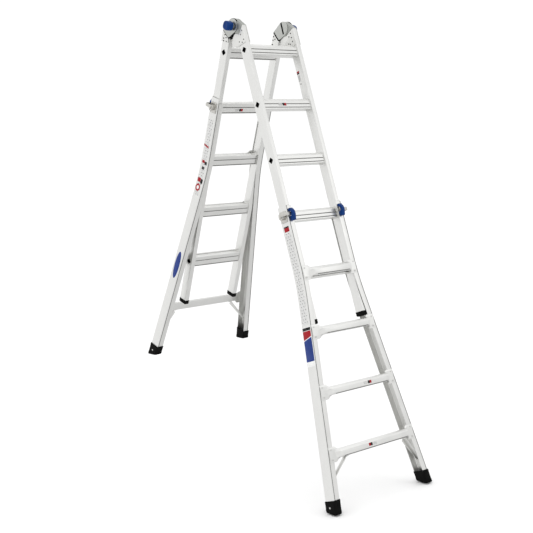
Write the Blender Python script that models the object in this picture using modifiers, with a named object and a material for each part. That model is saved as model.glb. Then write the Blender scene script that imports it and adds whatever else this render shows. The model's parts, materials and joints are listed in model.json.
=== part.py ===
"""Multi position ladder: two telescoping sections hinged at the top and opened as a stepladder.

Each section is a fly with rungs, which slides in a flared base with steps. The front base is let
out further than the rear one, so that the ladder can stand across two levels.

A section is drawn in its own frame: x across, "out" away from the other section and "down" along
the rails from the hinge pivot. In that frame out is -Y and down is -Z.
"""
import math

import bmesh
import bpy
from mathutils import Matrix, Vector

MM = 0.001
GAP = 0.3 * MM                      # clearance between touching pieces

# Whole ladder
RUNG_PITCH = 304.8 * MM
LEAN = math.radians(18.34)          # of each section from the vertical
FIRST_RUNG = 151.3 * MM             # hinge pivot to the middle of rung 1
FLY_RUNGS = 5
BASE_STEPS = 4
LOCK_RUNG = {"front": 4, "rear": 2}     # the rung that each base is locked to

# Fly rails: closed box tubes
RAIL_X = (165 * MM, 193 * MM)       # inner and outer face, from the middle of the ladder
RAIL_OUT = (13 * MM, 69 * MM)       # back and front face
RAIL_MID = sum(RAIL_OUT) / 2
RAIL_TOP = {"front": (24 * MM, 45 * MM), "rear": (37 * MM, 72 * MM)}   # at its front and back
RAIL_WALL = 2 * MM
RAIL_CORNER = 4 * MM
FLY_END = 1637.3 * MM               # bottom of the end caps
CAP_BASE = 7 * MM
CAP_HEIGHT = 25 * MM
CAP_WALL = 1.2 * MM
LOCK_HOLE = 14 * MM                 # half the diagonal of a diamond lock hole
LOCK_HOLE_CORNER = 3 * MM

# Rungs
RUNG_HEIGHT = 60 * MM
RUNG_DEPTH = 40 * MM
RUNG_TREAD = (13 * MM, 14 * MM)     # the sloping tread's rise out and down
RUNG_WALL = 2.6 * MM
GROOVE_DEPTH = 1.2 * MM
GROOVE_WIDTH = 3.5 * MM
GROOVES = (-10 * MM, 13 * MM)       # from the middle of the rung

# Base rails: channels that open towards the middle and flare below the first step
WEB_X = 199 * MM
FLANGE = 38 * MM
CHANNEL_OUT = (8.5 * MM, 73.4 * MM)
CHANNEL_WALL = 2.5 * MM
CHANNEL_CORNER = 4 * MM
BASE_TOP = -55 * MM                 # from the lock axis
FLANGE_NOTCH = 26 * MM              # top of the back flange, cut away to clear the hinge plates
FLARE_SLOPE = 0.135
FLARE_START = RUNG_PITCH - 50 * MM
FLARE_BEND = 200 * MM               # length of the bend from straight to flared
BEND_STATIONS = 6
RIVET_INSET = 24.5 * MM             # web to the line of step rivets

# Steps: tubes pressed flat at the ends
STEP_WALL = 2.3 * MM
STEP_END_HEIGHT = 76 * MM
STEP_END_REACH = 14 * MM            # flat end beyond and before its rivets
STEP_SWAGE = 46 * MM                # length over which the tube is pressed flat
STEP_PROFILE = (                    # out from the flange and down from the middle
    (0.4, -23), (13, -19), (25, -15), (29.5, -9), (30, 0), (29.5, 14), (25, 21), (13, 22), (0.4, 22),
)
SWAGE_STATIONS = 3

# Feet, braces
SOLE_BELOW_STEP = 281 * MM          # last step to the middle of the sole, along the rail
FOOT_HEIGHT = 68 * MM
FOOT_WALL = 5 * MM
RAIL_ABOVE_SOLE = 26 * MM
BRACE_WIDTH = 24 * MM
BRACE_THICKNESS = 3 * MM
BRACE_RUN = 72 * MM                 # inboard of the rivets, under the step
BRACE_DROP = 152 * MM               # from the step to the bend on the rail
BRACE_TAB = 20 * MM
BRACE_SHEAR = 0.396                 # how far it runs in under the step for each length outwards

# Rung locks
BARREL_RADIUS = 15 * MM
BARREL_LENGTH = 23 * MM
LOCK_PLATE = (25 * MM, 30 * MM)     # half width and half height
LOCK_PLATE_THICKNESS = 3 * MM
PIN_RADIUS = 7 * MM
PIN_BORE = 7.6 * MM
ARM_THICKNESS = 3 * MM
ARM_DOWN = (-17 * MM, 1 * MM)       # upper and lower edge, from the lock axis
ARM_OUT = 85 * MM
ARM_TIP = 169 * MM                  # inner end of the arm, in the mouth of the handle
HANDLE_X = (165 * MM, 187 * MM)
HANDLE_OUTLINE = (                  # out from the pivot and down from the lock axis
    (75, -38), (86, -38), (98.5, -21), (101, -2), (94, 26), (90, 29), (78, 29), (75, 8),
    (75, 5), (84, 4), (92, -9), (84, -22), (75, -25),
)

# Hinges
DISC_RADIUS = 39 * MM
PLATE = 3 * MM
FRONT_PLATE = ((69, 24), (-44, 49), (-45, 104), (13, 119), (69, 119))
REAR_PLATES = {                     # the outer one ends above the top of a closed base's rail
    "outer": ((69, 32), (2, 63), (13, 74), (13, 95), (69, 95)),
    "inner": ((69, 32), (2, 63), (13, 74), (13, 119), (69, 119)),
}
NECK = ((0, -36), (68, 22), (14, 43.5), (-20, 30))      # fills the front hinge above its rail
SADDLE = ((69, 32), (69, 95), (50, 95), (50, 44))       # joins the rear plates round their rail
HUB_RADIUS = 37 * MM
BOLT_RADIUS = 6 * MM
BOLT_END = 222 * MM
COLLAR_RADIUS = 17 * MM
COLLAR_END = 205.5 * MM
KNOB_X = (208.5 * MM, 246 * MM)
KNOB_RADIUS = 24.5 * MM
KNOB_LOBE = 2.2 * MM
KNOB_SKIRT = (18 * MM, 216 * MM)    # bore that clears the collar, and where it ends
SPRING_SEAT = 230 * MM              # depth of the spring's pocket in the knob
SPRING_RADIUS = 9.6 * MM
SPRING_WIRE = 0.9 * MM
SPRING_TURNS = 5
SPRING_STEPS = 10                   # points a turn

# The x, y and z axes of an outline's plane, for an extrusion along each direction
DOWNWARD = Matrix(((1, 0, 0), (0, -1, 0), (0, 0, -1))).transposed()
ACROSS = Matrix(((0, -1, 0), (0, 0, -1), (1, 0, 0))).transposed()
OUTWARD = Matrix(((0, 0, -1), (1, 0, 0), (0, -1, 0))).transposed()

COLOURS = {                         # base colour, metallic, roughness
    "aluminium": ((0.80, 0.80, 0.78), 1.0, 0.38),
    "hinge_steel": ((0.55, 0.55, 0.54), 1.0, 0.35),
    "blue_plastic": ((0.015, 0.07, 0.30), 0.0, 0.40),
    "black_rubber": ((0.015, 0.015, 0.015), 0.0, 0.70),
}


# ---------------------------------------------------------------- scene helpers

def clear_scene():
    for obj in list(bpy.data.objects):
        bpy.data.objects.remove(obj, do_unlink=True)


def new_collection(name):
    collection = bpy.data.collections.new(name)
    bpy.context.scene.collection.children.link(collection)
    return collection


def make_materials():
    materials = {}
    for name, (colour, metallic, roughness) in COLOURS.items():
        material = bpy.data.materials.new(name)
        material.use_nodes = True
        shader = material.node_tree.nodes["Principled BSDF"]
        shader.inputs["Base Color"].default_value = (*colour, 1)
        shader.inputs["Metallic"].default_value = metallic
        shader.inputs["Roughness"].default_value = roughness
        materials[name] = material
    return materials


def empty(name, parent=None, location=(0, 0, 0), rotation=(0, 0, 0)):
    obj = bpy.data.objects.new(name, None)
    PARTS.objects.link(obj)
    obj.parent = parent
    obj.location = location
    obj.rotation_euler = rotation
    return obj


def point(x, out, down):
    """A place in a section's frame, as a vector."""
    return Vector((x, -out, -down))


def solid(mesh):
    """Weld a mesh into one closed solid whose faces point outwards."""
    bm = bmesh.new()
    bm.from_mesh(mesh)
    bmesh.ops.remove_doubles(bm, verts=bm.verts, dist=1e-6)
    bmesh.ops.recalc_face_normals(bm, faces=bm.faces)
    bm.to_mesh(mesh)
    bm.free()
    return mesh


def baked(obj):
    """The evaluated mesh of a curve or of an object with modifiers, which is then removed."""
    PARTS.objects.link(obj)
    bpy.context.view_layer.update()
    evaluated = obj.evaluated_get(bpy.context.evaluated_depsgraph_get())
    mesh = bpy.data.meshes.new_from_object(evaluated)
    mesh.transform(obj.matrix_world)
    bpy.data.objects.remove(obj, do_unlink=True)
    return solid(mesh)


def add_part(name, mesh, parent, material, origin=(0, 0, 0)):
    """A named piece of the ladder, with its origin at a point of its parent's frame."""
    mesh.name = name
    mesh.transform(Matrix.Translation(-Vector(origin)))
    mesh.materials.clear()
    mesh.materials.append(MATERIALS[material])
    mesh.shade_smooth()
    mesh.set_sharp_from_angle(angle=math.radians(32))
    obj = bpy.data.objects.new(name, mesh)
    PARTS.objects.link(obj)
    obj.parent = parent
    obj.location = origin
    return obj


def add_tool(obj, mesh, operation):
    """Cut a mesh out of a piece, or join it on, with a Boolean that stays on the piece."""
    tool = bpy.data.objects.new(f"{obj.name}_{operation.lower()}", mesh)
    TOOLS.objects.link(tool)
    tool.parent = obj
    tool.location = -obj.location
    tool.hide_render = True
    tool.display_type = "WIRE"
    boolean = obj.modifiers.new(operation.title(), "BOOLEAN")
    boolean.operation = operation
    boolean.solver = "EXACT"
    boolean.object = tool
    return tool


def add_bevel(obj, width, segments=1, angle=40):
    bevel = obj.modifiers.new("Bevel", "BEVEL")
    bevel.width = width
    bevel.segments = segments
    bevel.limit_method = "ANGLE"
    bevel.angle_limit = math.radians(angle)


# ---------------------------------------------------------------- outlines and solids

def arc(centre, radius, start, end, steps):
    """Points on an arc, with both ends, from one angle in degrees to another."""
    turns = [math.radians(start + (end - start) * i / steps) for i in range(steps + 1)]
    return [(centre[0] + radius * math.cos(t), centre[1] + radius * math.sin(t)) for t in turns]


def circle(centre, radius, steps=24):
    return arc(centre, radius, 0, 360, steps)[:-1]


def rounded_box(low, high, radius, steps=2):
    corners = ((high[0], high[1], 0), (low[0], high[1], 90), (low[0], low[1], 180),
               (high[0], low[1], 270))
    points = []
    for x, y, start in corners:
        centre = (x - math.copysign(radius, x - low[0] - radius),
                  y - math.copysign(radius, y - low[1] - radius))
        points += arc(centre, radius, start, start + 90, steps)
    return points


def scaled(points):
    """An outline given in millimetres."""
    return [(u * MM, v * MM) for u, v in points]


def tangent_angle(corner, radius, turn):
    """Where the line from a corner touches a circle about the pivot, in degrees."""
    distance = math.hypot(*corner)
    return math.degrees(math.atan2(corner[1], corner[0]) + turn * math.acos(radius / distance))


def prism(loops, axes, start, end):
    """An outline with holes, extruded between two distances along its plane's third axis."""
    curve = bpy.data.curves.new("outline", "CURVE")
    curve.dimensions = "2D"
    curve.fill_mode = "BOTH"
    curve.extrude = abs(end - start) / 2
    for loop in loops:
        spline = curve.splines.new("POLY")
        spline.points.add(len(loop) - 1)
        for target, (u, v) in zip(spline.points, loop):
            target.co = (u, v, 0, 1)
        spline.use_cyclic_u = True
    mesh = baked(bpy.data.objects.new("outline", curve))
    mesh.transform(Matrix.Translation((0, 0, (start + end) / 2)))
    mesh.transform(axes.to_4x4())
    return mesh


def turned(profile, centre, steps=20):
    """A profile of (x, radius) points turned about an axis across the ladder."""
    mesh = bpy.data.meshes.new("profile")
    points = [(x, 0, radius) for x, radius in profile]
    mesh.from_pydata(points, [(i, i + 1) for i in range(len(points) - 1)], [])
    obj = bpy.data.objects.new("profile", mesh)
    screw = obj.modifiers.new("Screw", "SCREW")
    screw.axis = "X"
    screw.steps = screw.render_steps = steps
    screw.use_merge_vertices = True
    screw.merge_threshold = 1e-6
    result = baked(obj)
    result.transform(Matrix.Translation(centre))
    return result


def flare(down):
    """How far a base rail has moved outwards at a distance below its lock."""
    run = down - FLARE_START
    if run <= 0:
        return 0.0
    if run < FLARE_BEND:
        return FLARE_SLOPE * run * run / (2 * FLARE_BEND)
    return FLARE_SLOPE * (run - FLARE_BEND / 2)


def flared(mesh, side):
    """Bend a straight mesh outwards along the flare, with extra rings through the bend."""
    bm = bmesh.new()
    bm.from_mesh(mesh)
    for i in range(BEND_STATIONS + 1):
        height = -(FLARE_START + FLARE_BEND * i / BEND_STATIONS)
        everything = bm.verts[:] + bm.edges[:] + bm.faces[:]
        bmesh.ops.bisect_plane(bm, geom=everything, dist=1e-7, plane_co=(0, 0, height),
                               plane_no=(0, 0, 1))
    for vertex in bm.verts:
        vertex.co.x += side * flare(-vertex.co.z)
    bm.to_mesh(mesh)
    bm.free()
    return mesh


# ---------------------------------------------------------------- fly: rails, rungs, caps

def rung_down(number):
    return FIRST_RUNG + (number - 1) * RUNG_PITCH


def sided(side, low, high):
    """A range of x on one side of the ladder, lowest first."""
    return sorted((side * low, side * high))


def rail_top(section, out):
    """How far down the slanted top of a fly rail is, at a distance out."""
    front, back = RAIL_TOP[section]
    return back + (front - back) * (out - RAIL_OUT[0]) / (RAIL_OUT[1] - RAIL_OUT[0])


def inner_rail(name, side, section, parent):
    x = sided(side, *RAIL_X)
    wall = RAIL_WALL
    outer = rounded_box((x[0], RAIL_OUT[0]), (x[1], RAIL_OUT[1]), RAIL_CORNER)
    inner = rounded_box((x[0] + wall, RAIL_OUT[0] + wall), (x[1] - wall, RAIL_OUT[1] - wall),
                        RAIL_CORNER - wall)
    mesh = prism([outer, inner], DOWNWARD, RAIL_TOP[section][0], FLY_END - CAP_BASE - GAP)
    rail = add_part(name, mesh, parent, "aluminium")
    high = RAIL_TOP[section][0] - 2 * MM
    cut = [(out, rail_top(section, out)) for out in (RAIL_OUT[0] - MM, RAIL_OUT[1] + MM)]
    cut += [(RAIL_OUT[1] + MM, high), (RAIL_OUT[0] - MM, high)]
    across = sided(side, RAIL_X[0] - MM, RAIL_X[1] + MM)
    add_tool(rail, prism([cut], ACROSS, *across), "DIFFERENCE")
    holes = prism([diamond()], ACROSS, *sided(side, RAIL_X[1] - 2 * wall, RAIL_X[1] + wall))
    tool = add_tool(rail, holes, "DIFFERENCE")
    array = tool.modifiers.new("Holes", "ARRAY")
    array.count = FLY_RUNGS
    array.use_relative_offset = False
    array.use_constant_offset = True
    array.constant_offset_displace = point(0, 0, RUNG_PITCH)


def diamond():
    """The diamond lock hole at the first rung, with rounded corners."""
    reach = LOCK_HOLE - LOCK_HOLE_CORNER
    points = []
    for turn in (0, 90, 180, 270):
        angle = math.radians(turn)
        centre = (RAIL_MID + reach * math.cos(angle), FIRST_RUNG + reach * math.sin(angle))
        points += arc(centre, LOCK_HOLE_CORNER, turn - 45, turn + 45, 2)
    return points


def rung_outline(middle):
    """A rung's outside: a sloping tread at the top front and two grooves down its face."""
    back, front = RAIL_MID - RUNG_DEPTH / 2, RAIL_MID + RUNG_DEPTH / 2
    top, bottom = middle - RUNG_HEIGHT / 2, middle + RUNG_HEIGHT / 2
    points = [(back, top), (front - RUNG_TREAD[0], top), (front, top + RUNG_TREAD[1])]
    for groove in GROOVES:
        low, high = middle + groove - GROOVE_WIDTH / 2, middle + groove + GROOVE_WIDTH / 2
        points += [(front, low), (front - GROOVE_DEPTH, low + GROOVE_DEPTH)]
        points += [(front - GROOVE_DEPTH, high - GROOVE_DEPTH), (front, high)]
    return points + [(front, bottom), (back, bottom)]


def rung_bore(middle):
    back, front = RAIL_MID - RUNG_DEPTH / 2 + RUNG_WALL, RAIL_MID + RUNG_DEPTH / 2 - RUNG_WALL
    top, bottom = middle - RUNG_HEIGHT / 2 + RUNG_WALL, middle + RUNG_HEIGHT / 2 - RUNG_WALL
    return [(back, top), (front - RUNG_TREAD[0], top), (front, top + RUNG_TREAD[1]),
            (front, bottom), (back, bottom)]


def rung(name, number, parent):
    reach = RAIL_X[0] - GAP
    middle = rung_down(number)
    mesh = prism([rung_outline(middle), rung_bore(middle)], ACROSS, -reach, reach)
    add_part(name, mesh, parent, "aluminium")


def end_cap(name, side, parent):
    """A plastic cup over the open end of a fly rail."""
    clear = GAP + CAP_WALL
    x = sided(side, RAIL_X[0] - clear, RAIL_X[1] + clear)
    outer = rounded_box((x[0], RAIL_OUT[0] - clear), (x[1], RAIL_OUT[1] + clear), RAIL_CORNER)
    cap = add_part(name, prism([outer], DOWNWARD, FLY_END - CAP_HEIGHT, FLY_END), parent,
                   "black_rubber")
    x = sided(side, RAIL_X[0] - GAP, RAIL_X[1] + GAP)
    socket = rounded_box((x[0], RAIL_OUT[0] - GAP), (x[1], RAIL_OUT[1] + GAP), RAIL_CORNER)
    add_tool(cap, prism([socket], DOWNWARD, FLY_END - CAP_HEIGHT - CAP_BASE, FLY_END - CAP_BASE),
             "DIFFERENCE")


# ---------------------------------------------------------------- base: rails, steps, feet

def channel_outline(side, grow=0.0):
    """The section of a base rail, which opens towards the middle of the ladder."""
    back, front = CHANNEL_OUT[0] - grow, CHANNEL_OUT[1] + grow
    web, tip = WEB_X + grow, WEB_X - FLANGE - grow
    wall, corner = CHANNEL_WALL + 2 * grow, CHANNEL_CORNER + grow
    points = [(tip, front)]
    points += arc((web - corner, front - corner), corner, 90, 0, 3)
    points += arc((web - corner, back + corner), corner, 0, -90, 3)
    points += [(tip, back), (tip, back + wall), (web - wall, back + wall),
               (web - wall, front - wall), (tip, front - wall)]
    return [(side * x, out) for x, out in points]


def step_down(number):
    return number * RUNG_PITCH


def sole_down():
    return step_down(BASE_STEPS) + SOLE_BELOW_STEP


def rivet_x(down):
    return WEB_X - RIVET_INSET + flare(down)


def outer_rail(name, side, parent):
    mesh = prism([channel_outline(side)], DOWNWARD, BASE_TOP, sole_down() - RAIL_ABOVE_SOLE)
    rail = add_part(name, flared(mesh, side), parent, "aluminium")
    x = sided(side, WEB_X - 2 * CHANNEL_WALL, WEB_X + CHANNEL_WALL)
    add_tool(rail, prism([circle((RAIL_MID, 0), PIN_BORE)], ACROSS, *x), "DIFFERENCE")
    x = sided(side, WEB_X - FLANGE - MM, WEB_X - CHANNEL_WALL)
    flange = (CHANNEL_OUT[0] - MM, CHANNEL_OUT[0] + 2 * CHANNEL_WALL)
    notch = [(x[0], flange[0]), (x[1], flange[0]), (x[1], flange[1]), (x[0], flange[1])]
    add_tool(rail, prism([notch], DOWNWARD, BASE_TOP - MM, BASE_TOP + FLANGE_NOTCH), "DIFFERENCE")


def step_section(flatness):
    """A step's section, from the open tube (0) to its pressed end (1), as (out, down)."""
    last = len(STEP_PROFILE) - 1
    face = CHANNEL_OUT[1] + GAP
    points = []
    for i, (out, down) in enumerate(STEP_PROFILE):
        flat = (STEP_WALL, STEP_END_HEIGHT * (i / last - 0.5))
        tube = (out * MM, down * MM)
        points.append([a + (b - a) * flatness for a, b in zip(tube, flat)])
    return [(face + out, down) for out, down in points]


def step_stations(reach):
    """Where a half step's sections lie across the ladder, and how flat each one is."""
    flat_from = reach - 2 * STEP_END_REACH
    stations = [(0.0, 0.0)]
    for i in range(SWAGE_STATIONS + 1):
        share = i / SWAGE_STATIONS
        eased = share * share * (3 - 2 * share)
        stations.append((flat_from - STEP_SWAGE * (1 - share), eased))
    return stations + [(reach, 1.0)]


def step(name, number, parent):
    """Half a step as a loft of sections, mirrored and given its wall."""
    down = step_down(number)
    stations = step_stations(rivet_x(down) + STEP_END_REACH)
    bm = bmesh.new()
    rows = []
    for x, flatness in stations:
        section = step_section(flatness)
        rows.append([bm.verts.new(point(x, out, down + drop)) for out, drop in section])
    for near, far in zip(rows, rows[1:]):
        for i in range(len(near) - 1):
            bm.faces.new((near[i], near[i + 1], far[i + 1], far[i]))
    mesh = bpy.data.meshes.new(name)
    bm.to_mesh(mesh)
    bm.free()
    obj = add_part(name, mesh, parent, "aluminium")
    mirror = obj.modifiers.new("Mirror", "MIRROR")
    mirror.merge_threshold = 1e-5
    mirror.use_clip = True
    shell = obj.modifiers.new("Wall", "SOLIDIFY")
    shell.thickness = STEP_WALL
    shell.offset = -1
    shell.use_even_offset = True


def on_floor(mesh, down):
    """Slant the lower end of a foot so that its sole is level when the ladder leans."""
    for vertex in mesh.vertices:
        if vertex.co.z < -down:
            vertex.co.z = -down + math.tan(LEAN) * (vertex.co.y + RAIL_MID)
    return mesh


def foot(name, side, parent):
    down = sole_down()
    x = sided(side, WEB_X - FLANGE - FOOT_WALL, WEB_X + FOOT_WALL)
    outline = rounded_box((x[0], CHANNEL_OUT[0] - FOOT_WALL), (x[1], CHANNEL_OUT[1] + FOOT_WALL),
                          2 * FOOT_WALL, 3)
    mesh = on_floor(prism([outline], DOWNWARD, down - FOOT_HEIGHT, down + FOOT_HEIGHT), down)
    boot = add_part(name, flared(mesh, side), parent, "black_rubber")
    socket = prism([channel_outline(side, GAP)], DOWNWARD, down - 2 * FOOT_HEIGHT,
                   down - RAIL_ABOVE_SOLE + GAP)
    add_tool(boot, flared(socket, side), "DIFFERENCE")


def strip_outline(spine, thickness):
    """The outline of a bent strip on one side of its spine, as (x, down)."""
    headings = [(Vector(far) - Vector(near)).normalized() for near, far in zip(spine, spine[1:])]
    normals = [Vector((-heading.y, heading.x)) for heading in headings]
    offsets = [normals[0]]
    for before, after in zip(normals, normals[1:]):
        offsets.append((before + after) / (1 + before.dot(after)))
    offsets.append(normals[-1])
    far_side = [Vector(place) + offset * thickness for place, offset in zip(spine, offsets)]
    return list(spine) + [tuple(place) for place in reversed(far_side)]


def brace(name, side, parent):
    """A bent strip from a tab under the last step to a tab on the inside of the rail's web."""
    step_at = step_down(BASE_STEPS)
    underside = step_at + STEP_PROFILE[-1][1] * MM + GAP
    bend = step_at + BRACE_DROP
    end = bend + BRACE_TAB
    top = rivet_x(step_at) - BRACE_RUN
    web = WEB_X - CHANNEL_WALL - GAP
    spine = ((top - BRACE_TAB, underside), (top, underside), (web + flare(bend), bend),
             (web + flare(end), end))
    outline = [(down, side * x) for x, down in strip_outline(spine, BRACE_THICKNESS)]
    face = CHANNEL_OUT[1] + GAP
    mesh = prism([outline], OUTWARD, face, face + BRACE_WIDTH)
    for vertex in mesh.vertices:
        vertex.co.y += BRACE_SHEAR * max(abs(vertex.co.x) - top, 0)
    add_part(name, mesh, parent, "aluminium")


# ---------------------------------------------------------------- rung locks

def lock_axis(x=0.0):
    return point(x, RAIL_MID, 0)


def lock_housing(name, side, parent):
    """A plate on the web with a barrel for the sprung pin."""
    face = WEB_X + GAP
    half_width, half_height = LOCK_PLATE
    plate = rounded_box((RAIL_MID - half_width, -half_height),
                        (RAIL_MID + half_width, half_height), 6 * MM)
    housing = add_part(name, prism([plate], ACROSS, *sided(side, face, face + LOCK_PLATE_THICKNESS)),
                       parent, "hinge_steel")
    barrel = circle((RAIL_MID, 0), BARREL_RADIUS)
    bore = circle((RAIL_MID, 0), PIN_BORE)
    add_tool(housing, prism([barrel], ACROSS, *sided(side, face + MM, face + BARREL_LENGTH)),
             "UNION")
    add_tool(housing, prism([bore], ACROSS, *sided(side, face - MM, face + 2 * BARREL_LENGTH)),
             "DIFFERENCE")


def lock_pin(name, side, parent):
    """The sliding pin, and the arm that wraps round the rail from it into the handle."""
    tip = RAIL_X[1] + GAP + 0.1 * MM
    arm_x = WEB_X + 2 * GAP + BARREL_LENGTH
    profile = [(tip, 0), (tip, PIN_RADIUS - 2 * MM), (tip + 2 * MM, PIN_RADIUS),
               (arm_x + ARM_THICKNESS / 2, PIN_RADIUS), (arm_x + ARM_THICKNESS / 2, 0)]
    mesh = turned([(side * x, radius) for x, radius in profile], lock_axis())
    pin = add_part(name, mesh, parent, "hinge_steel", lock_axis(side * WEB_X))
    back, front = RAIL_MID - PIN_RADIUS, ARM_OUT
    far, thick = arm_x + ARM_THICKNESS, ARM_THICKNESS
    corner = 3 * thick
    outline = [(arm_x, back), (far, back)]
    outline += arc((far - corner, front - corner), corner, 0, 90, 4)
    outline += [(ARM_TIP, front), (ARM_TIP, front - thick)]
    outline += arc((far - corner, front - corner), corner - thick, 90, 0, 4)
    arm = prism([[(side * x, out) for x, out in outline]], DOWNWARD, *ARM_DOWN)
    add_tool(pin, arm, "UNION")


def lock_handle(name, side, parent):
    """A pull handle in the shape of an arrowhead, whose mouth takes the arm."""
    mesh = prism([scaled(HANDLE_OUTLINE)], ACROSS, *sided(side, *HANDLE_X))
    handle = add_part(name, mesh, parent, "blue_plastic", lock_axis(side * WEB_X))
    add_bevel(handle, 1.5 * MM)


# ---------------------------------------------------------------- hinges

def bracket_outline(points):
    """A hinge plate: a disc about the pivot that runs down into corners on the rail."""
    corners = scaled(points)
    start = tangent_angle(corners[0], DISC_RADIUS, -1)
    end = tangent_angle(corners[1], DISC_RADIUS, 1) - 360
    return corners[:1] + arc((0, 0), DISC_RADIUS, start, end, 20) + corners[1:]


def bolt_hole():
    return circle((0, 0), BOLT_RADIUS + GAP, 16)


def front_bracket(name, side, parent):
    """Two plates on the front rail's faces, joined by the hinge's hub and neck."""
    outline = [bracket_outline(FRONT_PLATE)]
    outer = sided(side, RAIL_X[1] + GAP, RAIL_X[1] + GAP + PLATE)
    inner = sided(side, RAIL_X[0] - GAP - PLATE, RAIL_X[0] - GAP)
    hub = sided(side, RAIL_X[0] - GAP - PLATE / 2, RAIL_X[1] + GAP + PLATE / 2)
    bracket = add_part(name, prism(outline, ACROSS, *outer), parent, "aluminium")
    add_tool(bracket, prism([circle((0, 0), HUB_RADIUS)], ACROSS, *hub), "UNION")
    add_tool(bracket, prism([scaled(NECK)], ACROSS, *hub), "UNION")
    add_tool(bracket, prism(outline, ACROSS, *inner), "UNION")
    bore = sided(side, RAIL_X[0] - 2 * PLATE, RAIL_X[1] + 2 * PLATE)
    add_tool(bracket, prism([bolt_hole()], ACROSS, *bore), "DIFFERENCE")


def rear_bracket(name, side, parent):
    """Two plates outside the front ones, joined by a saddle over the rear rail's top."""
    layer = PLATE + 2 * GAP
    outer = sided(side, RAIL_X[1] + layer, RAIL_X[1] + layer + PLATE)
    inner = sided(side, RAIL_X[0] - layer - PLATE, RAIL_X[0] - layer)
    saddle = sided(side, RAIL_X[0] - layer - PLATE / 2, RAIL_X[1] + layer + PLATE / 2)
    plates = {key: [bracket_outline(points), bolt_hole()] for key, points in REAR_PLATES.items()}
    bracket = add_part(name, prism(plates["outer"], ACROSS, *outer), parent, "aluminium")
    add_tool(bracket, prism([scaled(SADDLE)], ACROSS, *saddle), "UNION")
    add_tool(bracket, prism(plates["inner"], ACROSS, *inner), "UNION")
    seat = [(out, rail_top("rear", out) - 2 * GAP) for out in (RAIL_OUT[0] - GAP, RAIL_OUT[1] + GAP)]
    seat += [(out, FIRST_RUNG) for out in (RAIL_OUT[1] + GAP, RAIL_OUT[0] - GAP)]
    across = sided(side, RAIL_X[0] - GAP, RAIL_X[1] + GAP)
    add_tool(bracket, prism([seat], ACROSS, *across), "DIFFERENCE")


def pivot_bolt(name, side, parent):
    """The hinge's bolt, with its head inside and the knob's collar outside."""
    inner = RAIL_X[0] - 2 * PLATE - 3 * GAP
    outer = RAIL_X[1] + 2 * PLATE + 3 * GAP
    head = inner - 7 * MM
    profile = [(head, 0), (head, 8 * MM), (head + 1.5 * MM, 11 * MM), (inner, 11 * MM),
               (inner, BOLT_RADIUS), (outer, BOLT_RADIUS), (outer, COLLAR_RADIUS),
               (COLLAR_END - MM, COLLAR_RADIUS), (COLLAR_END, COLLAR_RADIUS - MM),
               (COLLAR_END, BOLT_RADIUS), (BOLT_END, BOLT_RADIUS), (BOLT_END, 0)]
    add_part(name, turned([(side * x, radius) for x, radius in profile], (0, 0, 0)), parent,
             "hinge_steel")


def hinge_knob(name, side, parent):
    """A four-lobed push knob, hollow for its spring and the end of the bolt."""
    steps = 32
    outline = []
    for i in range(steps):
        turn = 2 * math.pi * i / steps
        radius = KNOB_RADIUS + KNOB_LOBE * math.cos(4 * turn)
        outline.append((radius * math.cos(turn), radius * math.sin(turn)))
    centre = (side * KNOB_X[0], 0, 0)
    knob = add_part(name, prism([outline], ACROSS, *sided(side, *KNOB_X)), parent, "blue_plastic",
                    centre)
    add_bevel(knob, 2.5 * MM)
    mouth, pocket = KNOB_X[0] - MM, SPRING_RADIUS + 3 * SPRING_WIRE
    skirt, skirt_end = KNOB_SKIRT
    bore = [(mouth, 0), (mouth, skirt), (skirt_end, skirt), (skirt_end, pocket),
            (SPRING_SEAT, pocket), (SPRING_SEAT, BOLT_RADIUS + MM),
            (BOLT_END + 12 * MM, BOLT_RADIUS + MM), (BOLT_END + 12 * MM, 0)]
    add_tool(knob, turned([(side * x, radius) for x, radius in bore], (0, 0, 0)), "DIFFERENCE")


def knob_spring(name, side, parent):
    """The coil that pushes the knob out from the collar."""
    start = COLLAR_END + GAP + SPRING_WIRE
    length = SPRING_SEAT - GAP - SPRING_WIRE - start
    steps = SPRING_STEPS * SPRING_TURNS
    curve = bpy.data.curves.new(name, "CURVE")
    curve.dimensions = "3D"
    curve.bevel_depth = SPRING_WIRE
    curve.bevel_resolution = 0
    curve.use_fill_caps = True
    spline = curve.splines.new("POLY")
    spline.points.add(steps)
    for i, target in enumerate(spline.points):
        turn = 2 * math.pi * i / SPRING_STEPS
        x = side * (start + length * i / steps)
        target.co = (x, SPRING_RADIUS * math.cos(turn), SPRING_RADIUS * math.sin(turn), 1)
    mesh = baked(bpy.data.objects.new(name, curve))
    add_part(name, mesh, parent, "hinge_steel")


# ---------------------------------------------------------------- the ladder

def world_sides(section):
    """The section's own x direction of the ladder's left and right side."""
    return {"left": -1, "right": 1} if section == "front" else {"left": 1, "right": -1}


def build_fly(section, parent):
    for number in range(1, FLY_RUNGS + 1):
        rung(f"{section}_rung_{number}", number, parent)
    bracket = front_bracket if section == "front" else rear_bracket
    for name, side in world_sides(section).items():
        inner_rail(f"{section}_{name}_inner_rail", side, section, parent)
        end_cap(f"{section}_{name}_end_cap", side, parent)
        bracket(f"{section}_{name}_hinge_bracket", side, parent)


def build_base(section, parent):
    for number in range(1, BASE_STEPS + 1):
        step(f"{section}_step_{number}", number, parent)
    for name, side in world_sides(section).items():
        prefix = f"{section}_{name}"
        outer_rail(f"{prefix}_outer_rail", side, parent)
        foot(f"{prefix}_foot", side, parent)
        brace(f"{prefix}_brace", side, parent)
        lock_housing(f"{prefix}_lock_housing", side, parent)
        lock_pin(f"{prefix}_lock_pin", side, parent)
        lock_handle(f"{prefix}_lock_handle", side, parent)


def build_hinges(parent):
    for name, side in world_sides("front").items():
        pivot_bolt(f"{name}_pivot_bolt", side, parent)
        hinge_knob(f"{name}_hinge_knob", side, parent)
        knob_spring(f"{name}_knob_spring", side, parent)


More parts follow.
